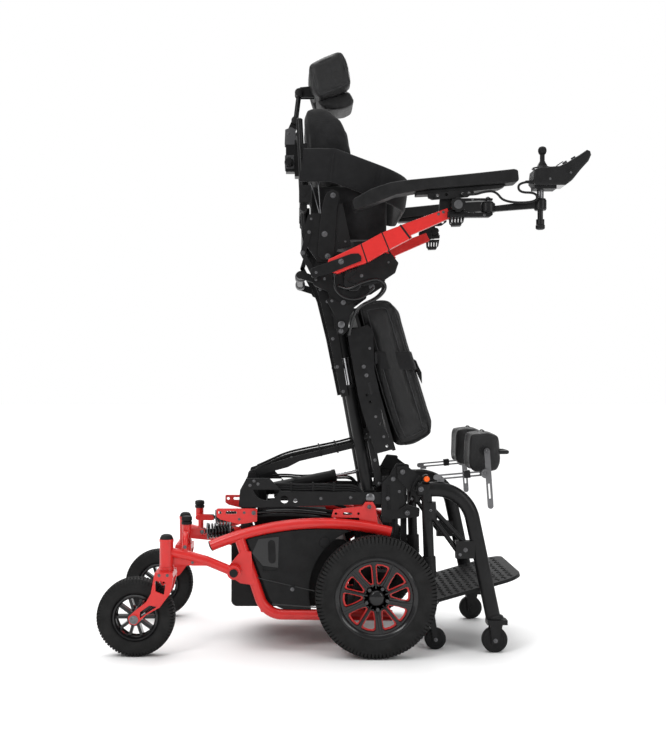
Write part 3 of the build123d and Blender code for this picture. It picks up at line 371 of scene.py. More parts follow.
def lathe(name, profile, centre, key, body, axis=(0, 1, 0), segments=48, sharp=35):
    """A turned piece of (radius, along) points round an axis through centre."""
    bm = bmesh.new()
    add_lathe(bm, profile, centre, axis, segments)
    return from_bmesh(name, bm, key, body, sharp)


BOLT_HEAD = [
    (0, 0.28), (0.42, 0.28), (0.46, 0.62), (0.62, 0.62), (0.86, 0.48), (1.0, 0.16), (1.0, 0.1),
    (1.38, 0.1), (1.38, -0.12), (0, -0.12),
]


def bolts(name, places, body, key="bolt"):
    """Button-head bolts on washers. Each place is (x, y, z, radius, axis)."""
    bm = bmesh.new()
    for x, y, z, radius, axis in places:
        profile = [(r * radius * 0.86, a * radius * 0.86) for r, a in BOLT_HEAD]
        add_lathe(bm, profile, (x, y, z), axis, 24, sides=(1, 2))
    return from_bmesh(name, bm, key, body, 30)


def both_sides(places):
    """Bolt places written for the user's left, repeated for the right."""
    out = []
    for x, y, z, radius in places:
        for sign in SIDES.values():
            out.append((x, sign * y, z, radius, (0, sign, 0)))
    return out


def circle(x, z, radius, count=24):
    turns = [tau * k / count for k in range(count)]
    return [(x + radius * cos(turn), z + radius * sin(turn)) for turn in turns]


def rectangle(x_low, x_high, z_low, z_high):
    return [(x_low, z_low), (x_high, z_low), (x_high, z_high), (x_low, z_high)]


def slot_loop(start, end, width, count=8):
    """A round-ended slot between two (x, z) points."""
    heading = atan2(end[1] - start[1], end[0] - start[0])
    loop = []
    for middle, base in ((end, heading - pi / 2), (start, heading + pi / 2)):
        for k in range(count + 1):
            angle = base + pi * k / count
            loop.append((middle[0] + width / 2 * cos(angle), middle[1] + width / 2 * sin(angle)))
    return loop


def meshed(obj):
    """The object's evaluated shape as a new mesh object, in the row frame."""
    bpy.context.view_layer.update()
    graph = bpy.context.evaluated_depsgraph_get()
    shape = bpy.data.meshes.new_from_object(obj.evaluated_get(graph))
    shape.transform(obj.matrix_world)
    name = obj.name
    bpy.data.objects.remove(obj)
    fresh = bpy.data.objects.new(name, shape)
    scene.collection.objects.link(fresh)
    return fresh


def cut_plate(name, loops, y, thickness, key, body, round_off=0.7):
    """A flat plate: the first (x, z) loop is its outline, the others are holes."""
    curve = bpy.data.curves.new(name, "CURVE")
    curve.dimensions = "2D"
    curve.fill_mode = "BOTH"
    curve.extrude = (thickness / 2 - round_off) * MM
    curve.bevel_depth = round_off * MM
    curve.bevel_resolution = 1
    curve.offset = -round_off * MM
    for loop in loops:
        spline = curve.splines.new("POLY")
        spline.points.add(len(loop) - 1)
        for point, (x, z) in zip(spline.points, loop):
            point.co = (x * MM, z * MM, 0, 1)
        spline.use_cyclic_u = True
    obj = bpy.data.objects.new(name, curve)
    scene.collection.objects.link(obj)
    obj.location.y = y * MM
    obj.rotation_euler.x = pi / 2
    obj = meshed(obj)
    obj.data.shade_smooth()
    obj.data.set_sharp_from_angle(angle=radians(40))
    return dress(obj, key, body)


def cord(name, points, radius, key, body, closed=False, steps=10, ring=4, capped=True):
    """A round cord on a smooth curve whose control points are given."""
    curve = bpy.data.curves.new(name, "CURVE")
    curve.dimensions = "3D"
    spline = curve.splines.new("NURBS")
    spline.points.add(len(points) - 1)
    for point, place in zip(spline.points, points):
        point.co = (*(Vector(place) * MM), 1)
    spline.order_u = 3
    spline.use_cyclic_u = closed
    spline.use_endpoint_u = not closed
    spline.resolution_u = steps
    curve.bevel_depth = radius * MM
    curve.bevel_resolution = ring
    curve.use_fill_caps = capped
    obj = bpy.data.objects.new(name, curve)
    scene.collection.objects.link(obj)
    return dress(obj, key, body)


def prism(name, outline, y_low, y_high, key, body, width=1.0, segments=2):
    """An outline of (x, z) points carried from one y to another, with rounded edges."""
    ring = [(x * MM, y_low * MM, z * MM) for x, z in outline]
    obj = from_bmesh(name, extruded(ring, (0, (y_high - y_low) * MM, 0)), key, body)
    if width:
        soften(obj, width, segments)
    return obj


# ---------------------------------------------------------------- pieces that both sides have
# Rows are written for the user's left. {side} in a name or a body stands for left or right; a name
# without it gets the side at its end.
def mirrored(near, far, sign):
    """The lower and the upper y between two distances from the middle plane."""
    return sorted((sign * near, sign * far))


def on_sides(body, rows):
    """Each row for the right and for the left: its name, its body, the side's sign and the rest."""
    for side, sign in SIDES.items():
        for name, *rest in rows:
            label = name if "{side}" in name else name + "_{side}"
            yield label.format(side=side), body.format(side=side), sign, rest


def plates(body, rows):
    """Prisms. Each row: name, finish, near and far distance, edge rounding, its segments, outline."""
    for name, rider, sign, (key, near, far, rounding, segments, outline) in on_sides(body, rows):
        low, high = mirrored(near, far, sign)
        prism(name, outline, low, high, key, rider, rounding, segments)


def caps(body, rows, axis=None):
    """Turned pieces that face outward, or along axis. Each row: name, finish, place, segments, profile."""
    for name, rider, sign, (key, (x, y, z), segments, profile) in on_sides(body, rows):
        lathe(name, profile, (x, sign * y, z), key, rider, axis or (0, sign, 0), segments)


def side_cords(body, rows):
    """Cords. Each row: name, finish, radius and points."""
    for name, rider, sign, (key, radius, points) in on_sides(body, rows):
        cord(name, [(x, sign * y, z) for x, y, z in points], radius, key, rider)


def side_bolts(name, body, places):
    """A piece of bolts on each side. Each place is (x, y, z, radius)."""
    for label, rider, sign, (row,) in on_sides(body, [(name, places)]):
        bolts(label, [(x, sign * y, z, radius, (0, sign, 0)) for x, y, z, radius in row], rider)


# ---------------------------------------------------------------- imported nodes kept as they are
NODE_FINISH = {
    "side_frames": "red", "base_plates": "black", "battery_box": "plastic", "motors": "black",
    "shrouds": "plastic", "tie_down_brackets": "red", "lift_actuator": "black",
    "lift_rod": "chrome", "guide_strut": "black", "masts": "black", "slide_rods": "chrome",
    "carriage": "black", "seat_frame": "black", "hip_brackets": "black",
    "side_guards": "plastic", "back_frame": "black", "joystick_arm": "black",
    "joystick_gimbal": "plastic", "joystick_stick": "rubber", "pod_button": "grey",
    "pod_toggle": "grey", "headrest_post": "black", "headrest_arm": "black",
    "knee_brackets": "black", "leg_frame": "black", "leg_release": "orange",
    "footplate": "plastic", "knee_bars": "steel", "joystick_pod": "plastic",
}
for side in SIDES:
    NODE_FINISH.update({
        f"swing_arm_{side}": "red", f"caster_fork_{side}": "red", f"caster_rim_{side}": "rim",
        f"armrest_{side}": "red", f"arm_knob_{side}": "plastic",
        f"support_wheel_{side}": "rubber", f"roller_{side}": "rubber",
    })


def dress_nodes():
    """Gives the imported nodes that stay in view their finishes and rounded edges."""
    for name, key in NODE_FINISH.items():
        obj = nodes[name]
        material = FINISH[key][0]
        if not obj.material_slots:
            obj.data.materials.append(material)
        for slot in obj.material_slots:
            slot.material = material
        weld = obj.modifiers.new("weld", "WELD")
        weld.merge_threshold = 0.00002
        soften(obj, 0.9)


# ---------------------------------------------------------------- wheels
def add_lugs(bm, centre, profile, count, width, depth, sign, phase):
    """Tread blocks: profile is (radius, along) points of a block's outer line."""
    for index in range(count):
        middle = tau * (index + phase) / count
        rings = []
        for radius, along in profile:
            ring = []
            for height, edge in ((radius, -1), (radius, 1), (radius - depth, 1), (radius - depth, -1)):
                angle = middle + edge * width / 2 / radius
                ring.append(bm.verts.new((
                    (centre[0] + height * sin(angle)) * MM,
                    (centre[1] + sign * along) * MM,
                    (centre[2] + height * cos(angle)) * MM,
                )))
            rings.append(ring)
        add_loft(bm, rings)


def tyre(name, node, centre, body, radius, width, rim_radius, count, block):
    """A tyre with moulded sidewall rings and rows of count tread blocks; block is their height."""
    half = width / 2
    crown = radius - block
    bm = bmesh.new()
    line = [
        (rim_radius, half * 0.72), (rim_radius + 3, half * 0.86), (rim_radius + 7, half * 0.9),
        (rim_radius + 9, half * 0.93), (rim_radius + 12, half * 0.92),
        (rim_radius + (crown - rim_radius) * 0.45, half), (crown - half * 0.5, half * 0.985),
        (crown - half * 0.34, half * 0.97), (crown - half * 0.3, half * 0.92),
        (crown - half * 0.12, half * 0.78), (crown - 1, half * 0.5), (crown, half * 0.2),
    ]
    ring = line + [(r, -a) for r, a in reversed(line)] + [line[0]]
    add_lathe(bm, ring, centre, segments=144)
    bmesh.ops.remove_doubles(bm, verts=bm.verts, dist=0.00001)
    wide = tau * radius / count
    outer = [
        (crown - half * 0.42, half), (crown - half * 0.2, half * 0.97),
        (crown + block * 0.3, half * 0.84), (radius - block * 0.25, half * 0.6),
        (radius - block * 0.06, half * 0.36),
    ]
    inner = [(radius - block * 0.06, half * 0.3), (radius, 0.5)]
    for row, (profile, share) in enumerate(((outer, 0.62), (inner, 0.7))):
        for sign in SIDES.values():
            phase = 0.5 * row + (0.25 if sign > 0 else 0)
            add_lugs(bm, centre, profile, count, wide * share, block + 2, sign, phase)
    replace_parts(from_bmesh(name, bm, "tyre", body, 40), node)


DRIVE_CENTRE = (99, 292, 178)
DRIVE_FACE = DRIVE_CENTRE[1] + 20
RIM_PAIRS = 5
RIM_TURN = radians(95)
RIM_BARREL = [
    (104, -24), (117.5, -28), (117.5, 26), (120, 29), (120, 32), (116, 33.5), (110, 31),
    (106, 27), (103, 20), (103, -24), (104, -24),
]
HUB = [(0, 34), (16, 33.5), (20, 31), (23, 27), (24, 24.5), (37, 24.5), (40, 22), (40, -18), (13, -18)]
# Half of a pair of windows: distance across and along the pair's direction.
WINDOW = [(4.5, 38), (4.5, 93), (9, 98), (27, 95), (43, 87), (45, 80), (31, 58), (17, 41), (9, 34)]
# Stations of a ridge: distance from the axle, share of its width, and height of its crest.
RIDGE = [(24, 1.3, 23.5), (40, 1.0, 28.5), (78, 0.85, 27.5), (106, 1.25, 25.5), (113, 1.5, 25.5)]
RIDGE_FOOT = 18.0
CASTER_CENTRE = (-605, 265, 115)
CASTER_LIP = [(60, 18), (66, 22), (67.5, 27), (65, 29.5), (61, 28), (57, 22), (57, 18), (60, 18)]
AXLE_CAP = [(0, 54), (6, 54), (8, 52.4), (13, 52.4), (13, 51)]


def flipped(profile, hand):
    """The turned profile, reversed along its axis where hand is -1."""
    return [(radius, hand * along) for radius, along in profile]


def polar(centre, turn, out, across=0.0):
    """The (x, z) point at a distance out from the wheel's centre and across that direction."""
    x = centre[0] + out * cos(turn) - across * sin(turn)
    z = centre[2] + out * sin(turn) + across * cos(turn)
    return x, z


def rim_windows(centre):
    """The window outlines of a drive rim, and the smaller outline inside each one."""
    windows, inner = [], []
    for pair in range(RIM_PAIRS):
        turn = RIM_TURN + tau * pair / RIM_PAIRS
        for hand in (1, -1):
            loop = [polar(centre, turn, out, -hand * across) for across, out in WINDOW]
            middle_x = sum(x for x, z in loop) / len(loop)
            middle_z = sum(z for x, z in loop) / len(loop)
            windows.append(loop)
            inner.append([
                (middle_x + (x - middle_x) * 0.78, middle_z + (z - middle_z) * 0.82) for x, z in loop
            ])
    return windows, inner


def rim_ridges(name, centre, sign, body):
    """Raised ridges on a drive rim: narrow ones between a pair's windows, wide ones between pairs."""
    bm = bmesh.new()
    for k in range(2 * RIM_PAIRS):
        turn = RIM_TURN + pi * k / RIM_PAIRS
        wide = 7.0 if k % 2 else 3.6
        rings = []
        for out, share, crest in RIDGE:
            swirl = turn + radians(3) * (out - 60) / 60
            foot, top = wide * share, wide * share * 0.45
            ring = []
            for across, height in ((-foot, RIDGE_FOOT), (-top, crest), (top, crest), (foot, RIDGE_FOOT)):
                x, z = polar(centre, swirl, out, across)
                ring.append(bm.verts.new(Vector((x, centre[1] + sign * height, z)) * MM))
            rings.append(ring)
        add_loft(bm, rings)
    from_bmesh(name, bm, "rim", body, 30)


def drive_wheel(side, sign):
    body = f"drive_wheel_{side}"
    centre = (DRIVE_CENTRE[0], sign * DRIVE_CENTRE[1], DRIVE_CENTRE[2])
    tyre(f"drive_tread_{side}", f"drive_tyre_{side}", centre, body, radius=178, width=76,
         rim_radius=118, count=96, block=5)
    lathe(f"rim_barrel_{side}", flipped(RIM_BARREL, sign), centre, "rim", body, segments=120)
    lathe(f"hub_{side}", flipped(HUB, sign), centre, "rim", body, segments=64)
    windows, inner = rim_windows(centre)
    disc = [circle(centre[0], centre[2], 108, 96)] + windows
    face = cut_plate(f"rim_face_{side}", disc, sign * DRIVE_FACE, 9, "rim", body, 1.6)
    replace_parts(face, f"drive_rim_{side}")
    for number, edge in enumerate(zip(windows, inner)):
        cut_plate(f"rim_edge_{side}_{number}", edge, sign * (DRIVE_FACE - 5), 7, "red", body, 1.2)
    rim_ridges(f"rim_spokes_{side}", centre, sign, body)
    nuts = []
    for k in range(RIM_PAIRS):
        x, z = polar(centre, RIM_TURN + radians(36) + tau * k / RIM_PAIRS, 32)
        nuts.append((x, centre[1] + sign * 34.5, z, 4.2, (0, sign, 0)))
    bolts(f"hub_bolts_{side}", nuts, body, "grey")


def caster_wheel(side, sign):
    body, fork = f"caster_wheel_{side}", f"caster_fork_{side}"
    centre = (CASTER_CENTRE[0], sign * CASTER_CENTRE[1], CASTER_CENTRE[2])
    tyre(f"caster_tread_{side}", f"caster_tyre_{side}", centre, body, radius=115, width=60,
         rim_radius=68, count=72, block=2.5)
    for face, hand in (("in", 1), ("out", -1)):
        lip, cap = flipped(CASTER_LIP, hand), flipped(AXLE_CAP, hand)
        lathe(f"caster_lip_{side}_{face}", lip, centre, "rim", body, segments=72)
        lathe(f"axle_cap_{side}_{face}", cap, centre, "steel", fork, segments=32)


# ---------------------------------------------------------------- soft goods
def inflate(obj, cap):
    """Runs the pad as pressurised cloth for a few frames and keeps the shape, moved at most cap."""
    frames = 16
    rest = [v.co.copy() for v in obj.data.vertices]
    cloth = obj.modifiers.new("cloth", "CLOTH")
    cloth.settings.use_pressure = True
    cloth.settings.uniform_pressure_force = 4.0
    cloth.settings.effector_weights.gravity = 0
    cloth.settings.tension_stiffness = 12
    cloth.settings.quality = 4
    cloth.point_cache.frame_start, cloth.point_cache.frame_end = 1, frames
    for number in range(1, frames + 1):
        scene.frame_set(number)
    graph = bpy.context.evaluated_depsgraph_get()
    shape = bpy.data.meshes.new_from_object(obj.evaluated_get(graph))
    for vertex, start, end in zip(obj.data.vertices, rest, shape.vertices):
        step = end.co - start
        if step.length > cap * MM:
            step = step.normalized() * cap * MM
        vertex.co = start + step
    obj.modifiers.remove(cloth)
    bpy.data.meshes.remove(shape)
    scene.frame_set(1)


def inset(outline, amount):
    """The outline moved inward; its points run clockwise or anticlockwise."""
    area = sum(a[0] * b[1] - b[0] * a[1] for a, b in zip(outline, outline[1:] + outline[:1]))
    hand = 1 if area > 0 else -1
    result = []
    count = len(outline)
    for k, here in enumerate(outline):
        before, after = outline[k - 1], outline[(k + 1) % count]
        a = Vector((here[0] - before[0], here[1] - before[1])).normalized()
        b = Vector((after[0] - here[0], after[1] - here[1])).normalized()
        normal = Vector((-a.y - b.y, a.x + b.x)).normalized() * hand
        spread = max(0.5, normal.dot(Vector((-a.y, a.x)) * hand))
        result.append((here[0] + normal.x * amount / spread, here[1] + normal.y * amount / spread))
    return result


def piping(name, points, radius, body, key="leather", closed=True):
    """A sewn cord of piping along points, in a ring unless closed is off."""
    return cord(name, points, radius, key, body, closed=closed, steps=8, ring=3, capped=False)


def soft_block(
    name, outline, low, high, key, body, round_off=14, axis="y", form=None, voxel=6.0, swell=7.0,
):
    """An upholstered pad: a rounded block, remeshed and blown up as cloth, moved at most by swell.

    The outline is (x, z) carried along y, or (x, y) carried along z. form reshapes a point."""
    travel = (high - low) * MM
    if axis == "y":
        bm = extruded([Vector((x, low, z)) * MM for x, z in outline], (0, travel, 0))
    else:
        bm = extruded([Vector((x, y, low)) * MM for x, y in outline], (0, 0, travel))
    bmesh.ops.recalc_face_normals(bm, faces=bm.faces)
    mesh = bpy.data.meshes.new(name)
    bm.to_mesh(mesh)
    bm.free()
    obj = bpy.data.objects.new(name, mesh)
    scene.collection.objects.link(obj)
    bevel = obj.modifiers.new("round", "BEVEL")
    bevel.width = round_off * MM
    bevel.segments = 3
    bevel.limit_method = "ANGLE"
    bevel.angle_limit = radians(28)
    remesh = obj.modifiers.new("remesh", "REMESH")
    remesh.mode = "VOXEL"
    remesh.voxel_size = voxel * MM
    obj = meshed(obj)
    if form:
        for vertex in obj.data.vertices:
            vertex.co = Vector(form(*(vertex.co / MM))) * MM
    inflate(obj, swell)
    smooth = obj.modifiers.new("smooth", "SMOOTH")
    smooth.iterations = 4
    smooth.factor = 0.5
    fine = obj.modifiers.new("fine", "SUBSURF")
    fine.levels = fine.render_levels = 1
    obj = meshed(obj)
    obj.data.shade_smooth()
    dress(obj, key, body)
    return obj


SEAT = [
    (45, 1026), (62, 1046), (132, 1062), (168, 1041), (200, 930), (240, 800),
    (280, 665), (276, 640), (223, 612), (165, 600),
]


def seat():
    cushion = soft_block("seat_pad", inset(SEAT, 4), -186, 186, "leather", "seat", 15, swell=8)
    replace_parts(cushion, "seat_cushion")
    cords = (("piping", 9, 184.5, 2.6, "leather"), ("seam", 30, 189, 1.1, "thread"))
    for side, sign in SIDES.items():
        for name, depth, y, radius, key in cords:
            loop = [(x, sign * y, z) for x, z in inset(SEAT, depth)]
            piping(f"seat_{name}_{side}", loop, radius, "seat", key)


def strip(name, path, height_vec, height, thick, key, body, seams=(), crown=0.0):
    """A band swept along path points, its height along height_vec, and pinched at seams.

    seams are distances along the path."""
    up = Vector(height_vec).normalized()
    points = [Vector(p) for p in path]
    total = [0.0]
    for a, b in zip(points, points[1:]):
        total.append(total[-1] + (b - a).length)
    section = []
    around = 28
    for k in range(around):
        c, s = cos(tau * k / around), sin(tau * k / around)
        section.append((copysign(abs(c) ** 0.55, c) / 2, copysign(abs(s) ** 0.35, s) / 2))
    bm = bmesh.new()
    rings = []
    for index, spot in enumerate(points):
        ahead = points[min(index + 1, len(points) - 1)] - points[max(index - 1, 0)]
        out = ahead.cross(up).normalized()
        pinch = 1.0
        for seam in seams:
            pinch = min(pinch, 1 - 0.45 * exp(-((total[index] - seam) / 3.5) ** 2))
        ring = []
        for t, h in section:
            bulge = thick * (1 + crown * (1 - (2 * h) ** 2)) * pinch
            ring.append(bm.verts.new((spot + out * t * bulge + up * h * height) * MM))
        rings.append(ring)
    add_loft(bm, rings)
    return from_bmesh(name, bm, key, body, 60)


def round_corner(a, b, c, radius, steps=14):
    """Points of the arc that rounds corner b between a and c."""
    a, b, c = Vector(a), Vector(b), Vector(c)
    u, v = (a - b).normalized(), (c - b).normalized()
    half = u.angle(v) / 2
    reach = radius * cos(half) / sin(half)
    centre = b + (u + v).normalized() * (radius / sin(half))
    start, end = b + u * reach, b + v * reach
    sweep = (start - centre).angle(end - centre)
    normal = (start - centre).cross(end - centre).normalized()
    turns = [Matrix.Rotation(sweep * k / steps, 3, normal) for k in range(steps + 1)]
    return [centre + turn @ (start - centre) for turn in turns]


def hoop(tail, front, half, height, radius):
    """A run from the right side round the front to the left side, with rounded corners."""
    near, far = (tail, -half, height), (tail, half, height)
    right, left = (front, -half, height), (front, half, height)
    turn_in, turn_out = round_corner(near, right, left, radius), round_corner(right, left, far, radius)
    return [near] + turn_in + turn_out + [far]


def dense(points, step=8.0):
    """The same run of points with more between them."""
    out = [Vector(points[0])]
    for a, b in zip(points, points[1:]):
        a, b = Vector(a), Vector(b)
        count = max(1, round((b - a).length / step))
        out += [a.lerp(b, k / count) for k in range(1, count + 1)]
    return out


BAND_BEND = (-24, 1453)
BAND_SLOPE = radians(-20.6)
BAND_UP = Vector((0.12, 0, 0.993)).normalized()


def band_height(x):
    """Height of the chest band's middle line: level behind the bend, falling before it."""
    return BAND_BEND[1] + (max(0.0, x - BAND_BEND[0])) * sin(BAND_SLOPE) / cos(BAND_SLOPE)


def chest_support():
    path = dense(hoop(-118, 196, 215, 0, 80), 4)
    path = [Vector((p.x, p.y, band_height(p.x))) for p in path]
    length = sum((b - a).length for a, b in zip(path, path[1:]))
    seams = []
    for place in (88, 98, 232, 242):
        seams += [place, length - place]
    band = strip("chest_pad", path, BAND_UP, 100, 14, "band", "back", seams, crown=0.25)
    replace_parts(band, "chest_band")
    for name, up in (("upper", 48), ("lower", -48)):
        edge = [p + BAND_UP * up for p in path[::6]]
        piping(f"chest_binding_{name}", edge, 2.6, "back", "webbing", closed=False)


def thigh_strap():
    (knee_x, knee_z), (low_x, low_z) = SEAT[4], SEAT[5]
    slope = (low_x - knee_x) / (knee_z - low_z)
    low, high, middle = 842, 896, 869
    front = knee_x + (knee_z - middle) * slope + 2.0
    lean = Vector((-slope, 0, 1)).normalized()
    path = dense(hoop(112, front, 192.2, middle, 13), 8)
    belt = strip("thigh_webbing", path, lean, (high - low) / lean.z, 2.2, "webbing", "seat")
    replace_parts(belt, "thigh_belt")
    plate = [(front + 1.5 + (middle - z) * slope, z) for z in (848, 890)]
    plate += [(x + 9, z) for x, z in reversed(plate)]
    prism("belt_buckle", plate, -96, -30, "plastic", "seat", 2.5, 3)
    tail = [(front + 3, -96, 862), (front + 14, -122, 852), (front + 17, -146, 838), (front + 26, -163, 816)]
    strip("belt_tail", dense(tail, 6), (0, 0.35, 0.9), 38, 2.2, "webbing", "seat")


BACK = [
    (-112, 1636), (-100, 1650), (-59, 1652), (-30, 1640), (4, 1606), (24, 1560),
    (36, 1500), (30, 1406), (-86, 1406), (-96, 1470),
]
SHOULDER = 1560
LUMBAR = [
    (-94.9, -184), (20, -190), (134, -188), (147, -174), (146, -160), (60, -130), (30, -80), (24, 0),
    (30, 80), (60, 130), (146, 160), (147, 174), (134, 188), (20, 190), (-94.9, 184),
]


def shoulders(x, y, z):
    """Narrows the top of the back pad and curves its front face round the user."""
    rise = max(0.0, (z - SHOULDER) / 92)
    y = y * (1 - 0.24 * rise ** 2.2)
    wrap = max(0.0, x + 60) / 96 * 16 * (1 - (y / 185) ** 2)
    return x - wrap, y, z


def bolster(x, y, z):
    """Slopes the ends of the lumbar pad's bolsters like the solid behind them."""
    if x > 120:
        lowest = 1226 + 1.6 * (x - 120)
        z = max(z, min(lowest, 1310))
    if x > 100:
        z = min(z, 1404 - (x - 100) * 4 / 7)
    return x, y, z


def back_rest():
    upper = soft_block("back_pad", inset(BACK, 6), -179, 179, "spacer", "back", 20, form=shoulders, swell=7)
    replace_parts(upper, "back_cushions")
    soft_block("lumbar_pad", inset(LUMBAR, 6), 1233, 1396, "spacer", "back", 16, axis="z",
               form=bolster, swell=6)


WING = [
    (-100, 1773), (-95, 1786), (-61, 1804), (-5, 1827), (10, 1822), (23, 1797),
    (38, 1732), (35, 1716), (17, 1704), (-55, 1676), (-67, 1676), (-83, 1695),
]
HEAD_MIDDLE = [(-100, 1773), (-95, 1786), (-58, 1804), (-30, 1806), (-24, 1716), (-83, 1700)]
NAPE = [(-78, 1716), (-66, 1670), (-46, 1658), (-17, 1654), (20, 1657), (45, 1670), (50, 1686), (34, 1716)]
HEAD_HINGE = (-126, 0, 1722)
POST_HINGE = (-137, 0, 1633)


def head_rest():
    for side, sign in SIDES.items():
        low, high = mirrored(62, 122, sign)
        wing = soft_block(f"head_wing_{side}", inset(WING, 3), low, high, "leather", "headrest", 13,
                          voxel=4.5, swell=4)
        if sign < 0:
            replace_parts(wing, "headrest_pad")
        seam = [(x, sign * 122, z) for x, z in inset(WING, 13)]
        piping(f"head_seam_{side}", seam, 1.2, "headrest", "thread")
    soft_block("head_middle", inset(HEAD_MIDDLE, 3), -64, 64, "leather", "headrest", 10, voxel=4.5, swell=3)
    soft_block("head_nape", inset(NAPE, 3), -72, 72, "leather", "headrest", 12, voxel=4.5, swell=4)
    plates("headrest", [
        ("head_ear", "black", 9, 15, 1.2, 2,
         [(-132, 1712), (-120, 1708), (-76, 1708), (-78, 1744), (-122, 1740), (-135, 1726)]),
    ])
    hinges = (("low", "headrest_post", POST_HINGE, 19), ("high", "headrest", HEAD_HINGE, 17))
    for name, body, centre, y in hinges:
        puck = [(0, 9), (9, 9), (12.5, 7), (13.5, 3), (13.5, -3), (0, -3)]
        puck = [(radius, y + along) for radius, along in puck]
        caps(body, [(f"head_joint_{name}", "plastic", centre, 36, puck)])
    pin = [(0, -17), (8, -17), (8.5, -15), (5, -15), (5, 15), (8.5, 15), (8, 17), (0, 17)]
    lathe("head_pin", pin, HEAD_HINGE, "steel", "headrest", segments=24)


KNEE = [(380, 545), (384, 652), (440, 656), (476, 646), (482, 560), (470, 534), (396, 530)]


def knee_supports():
    for side, sign in SIDES.items():
        body = f"knee_pad_{side}"
        low, high = mirrored(84, 206, sign)

        def cupped(x, y, z, sign=sign):
            """Hollows the face that the knee rests on."""
            across = (y - sign * 145) / 60
            depth = max(0.0, (432 - x) / 50)
            return x + 12 * depth * max(0.0, 1 - across ** 2), y, z

        pad = soft_block(f"knee_cushion_{side}", inset(KNEE, 3), low, high, "leather", body, 8,
                         form=cupped, voxel=4.5, swell=4)
        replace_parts(pad, f"knee_pad_{side}")
        around = ((88, 540), (84, 600), (90, 654), (146, 659), (202, 652), (207, 600), (202, 538))
        seam = [(434, sign * y, z) for y, z in around]
        piping(f"knee_seam_{side}", seam, 2.0, body, "leather", closed=False)
    boss = [(5.5, 200), (14, 200), (14, 215), (5.5, 215), (5.5, 200)]
    caps("knee_pad_{side}", [("knee_boss", "plastic", (432, 0, 599), 32, boss)])
    grip = ((468, 104), (500, 104), (505, 112), (505, 178), (500, 186), (468, 186))
    side_cords("knee_pad_{side}", [("knee_handle", "black", 6, [(x, y, 592) for x, y in grip])])


ARM_PAD = [
    (30, 1325), (32, 1338), (86, 1368), (141, 1386), (190, 1393), (262, 1400), (400, 1414), (500, 1425),
    (512, 1422), (515, 1392), (508, 1387), (470, 1383), (258, 1366), (214, 1360), (156, 1350), (96, 1326),
    (36, 1304),
]
ARM_SHOE = [(216, 1350), (300, 1354), (462, 1370), (478, 1378), (476, 1383.4), (258, 1366), (216, 1360)]
ARM_TRAY = [(250, 1340), (262, 1335), (366, 1343), (384, 1356), (384, 1366), (250, 1356)]


def arm_supports():
    holes = [circle(x, 1330 + x * 0.069, 4.2, 16) for x in (278, 304, 352, 370)]
    for side, sign in SIDES.items():
        body = f"armrest_{side}"
        low, high = mirrored(235, 305, sign)
        pad = prism(f"arm_cushion_{side}", ARM_PAD, low, high, "rubber", body, 5, 4)
        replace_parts(pad, f"arm_pad_{side}")
        cut_plate(f"arm_tray_{side}", [ARM_TRAY] + holes, sign * 294, 3, "plastic", body)
    plates("armrest_{side}", [
        ("arm_shoe", "plastic", 248, 292, 2.0, 2, ARM_SHOE),
        ("lead_clip", "plastic", 290, 309, 1.5, 2, rectangle(350, 362, 1343, 1355)),
    ])
    knob = [(0, 0), (8, 0), (9.5, 1.5), (9.5, 9), (8, 11), (0, 11)]
    caps("armrest_{side}", [("arm_tray_knob", "plastic", (258, 296, 1346), 28, knob)])


# ---------------------------------------------------------------- base details
DAMPER = [
    (0, 0), (10, 0), (10, 8), (6, 9), (6, 36), (14, 36), (15, 38), (15, 84), (10, 86), (10, 97), (0, 97),
]
SPRING_CUP = [(12, 0), (24, 0), (25, 2), (25, 4), (23, 5), (12, 5), (12, 0)]
SHOCK_EYE = [(5.5, -5), (10, -5), (10, 5), (5.5, 5), (5.5, -5)]
SPRING_TURNS, SPRING_RADIUS, SPRING_WIRE = 6.5, 19.5, 3.6
SPRING_START, SPRING_LENGTH = 20, 62


def coil(start, run):
    """Points of a spring's helix round the line from start along run."""
    across = run.orthogonal().normalized()
    other = run.cross(across)
    steps = 182
    points = []
    for k in range(steps + 1):
        share = k / steps
        angle = tau * SPRING_TURNS * share
        swing = (across * cos(angle) + other * sin(angle)) * SPRING_RADIUS
        points.append(start + run * (SPRING_START + SPRING_LENGTH * share) + swing)
    return points


def springs():
    """Coil-over shocks, placed with their ends at the swing arm and at the base."""
    for side, sign in SIDES.items():
        tail, nose = Vector((-419, sign * 166, 351)), Vector((-322, sign * 166, 357))
        run = (nose - tail).normalized()
        damper = lathe(f"damper_{side}", DAMPER, tail, "black", None, run, 32)
        pieces = [damper]
        for name, start in (("rear", 14), ("front", 84)):
            cup = lathe(f"spring_seat_{name}_{side}", SPRING_CUP, tail + run * start, "steel", None, run, 40)
            pieces.append(cup)
        spring = meshed(piping(f"spring_{side}", coil(tail, run), SPRING_WIRE, None, "gloss", closed=False))
        spring.data.shade_smooth()
        pieces.append(dress(spring, "gloss", None))
        for end, place in (("rear", tail), ("front", nose)):
            pieces.append(lathe(f"shock_eye_{end}_{side}", SHOCK_EYE, place, "black", None, segments=32))
        for piece in pieces:
            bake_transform(piece)
        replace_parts(damper, "shocks")


def tube_plugs():
    plug = [(0, 4.5), (10, 4.2), (14.5, 3), (16.2, 1.2), (16.2, -0.5), (0, -0.5)]
    ends = [(-389, 314, (-0.916, 0, -0.402)), (149, 355, (0.966, 0, -0.259)), (150, 106, (1, 0, -0.02))]
    for number, (x, z, axis) in enumerate(ends):
        caps("base", [(f"tube_plug_{number}", "plastic", (x, 215, z), 36, plug)], axis)


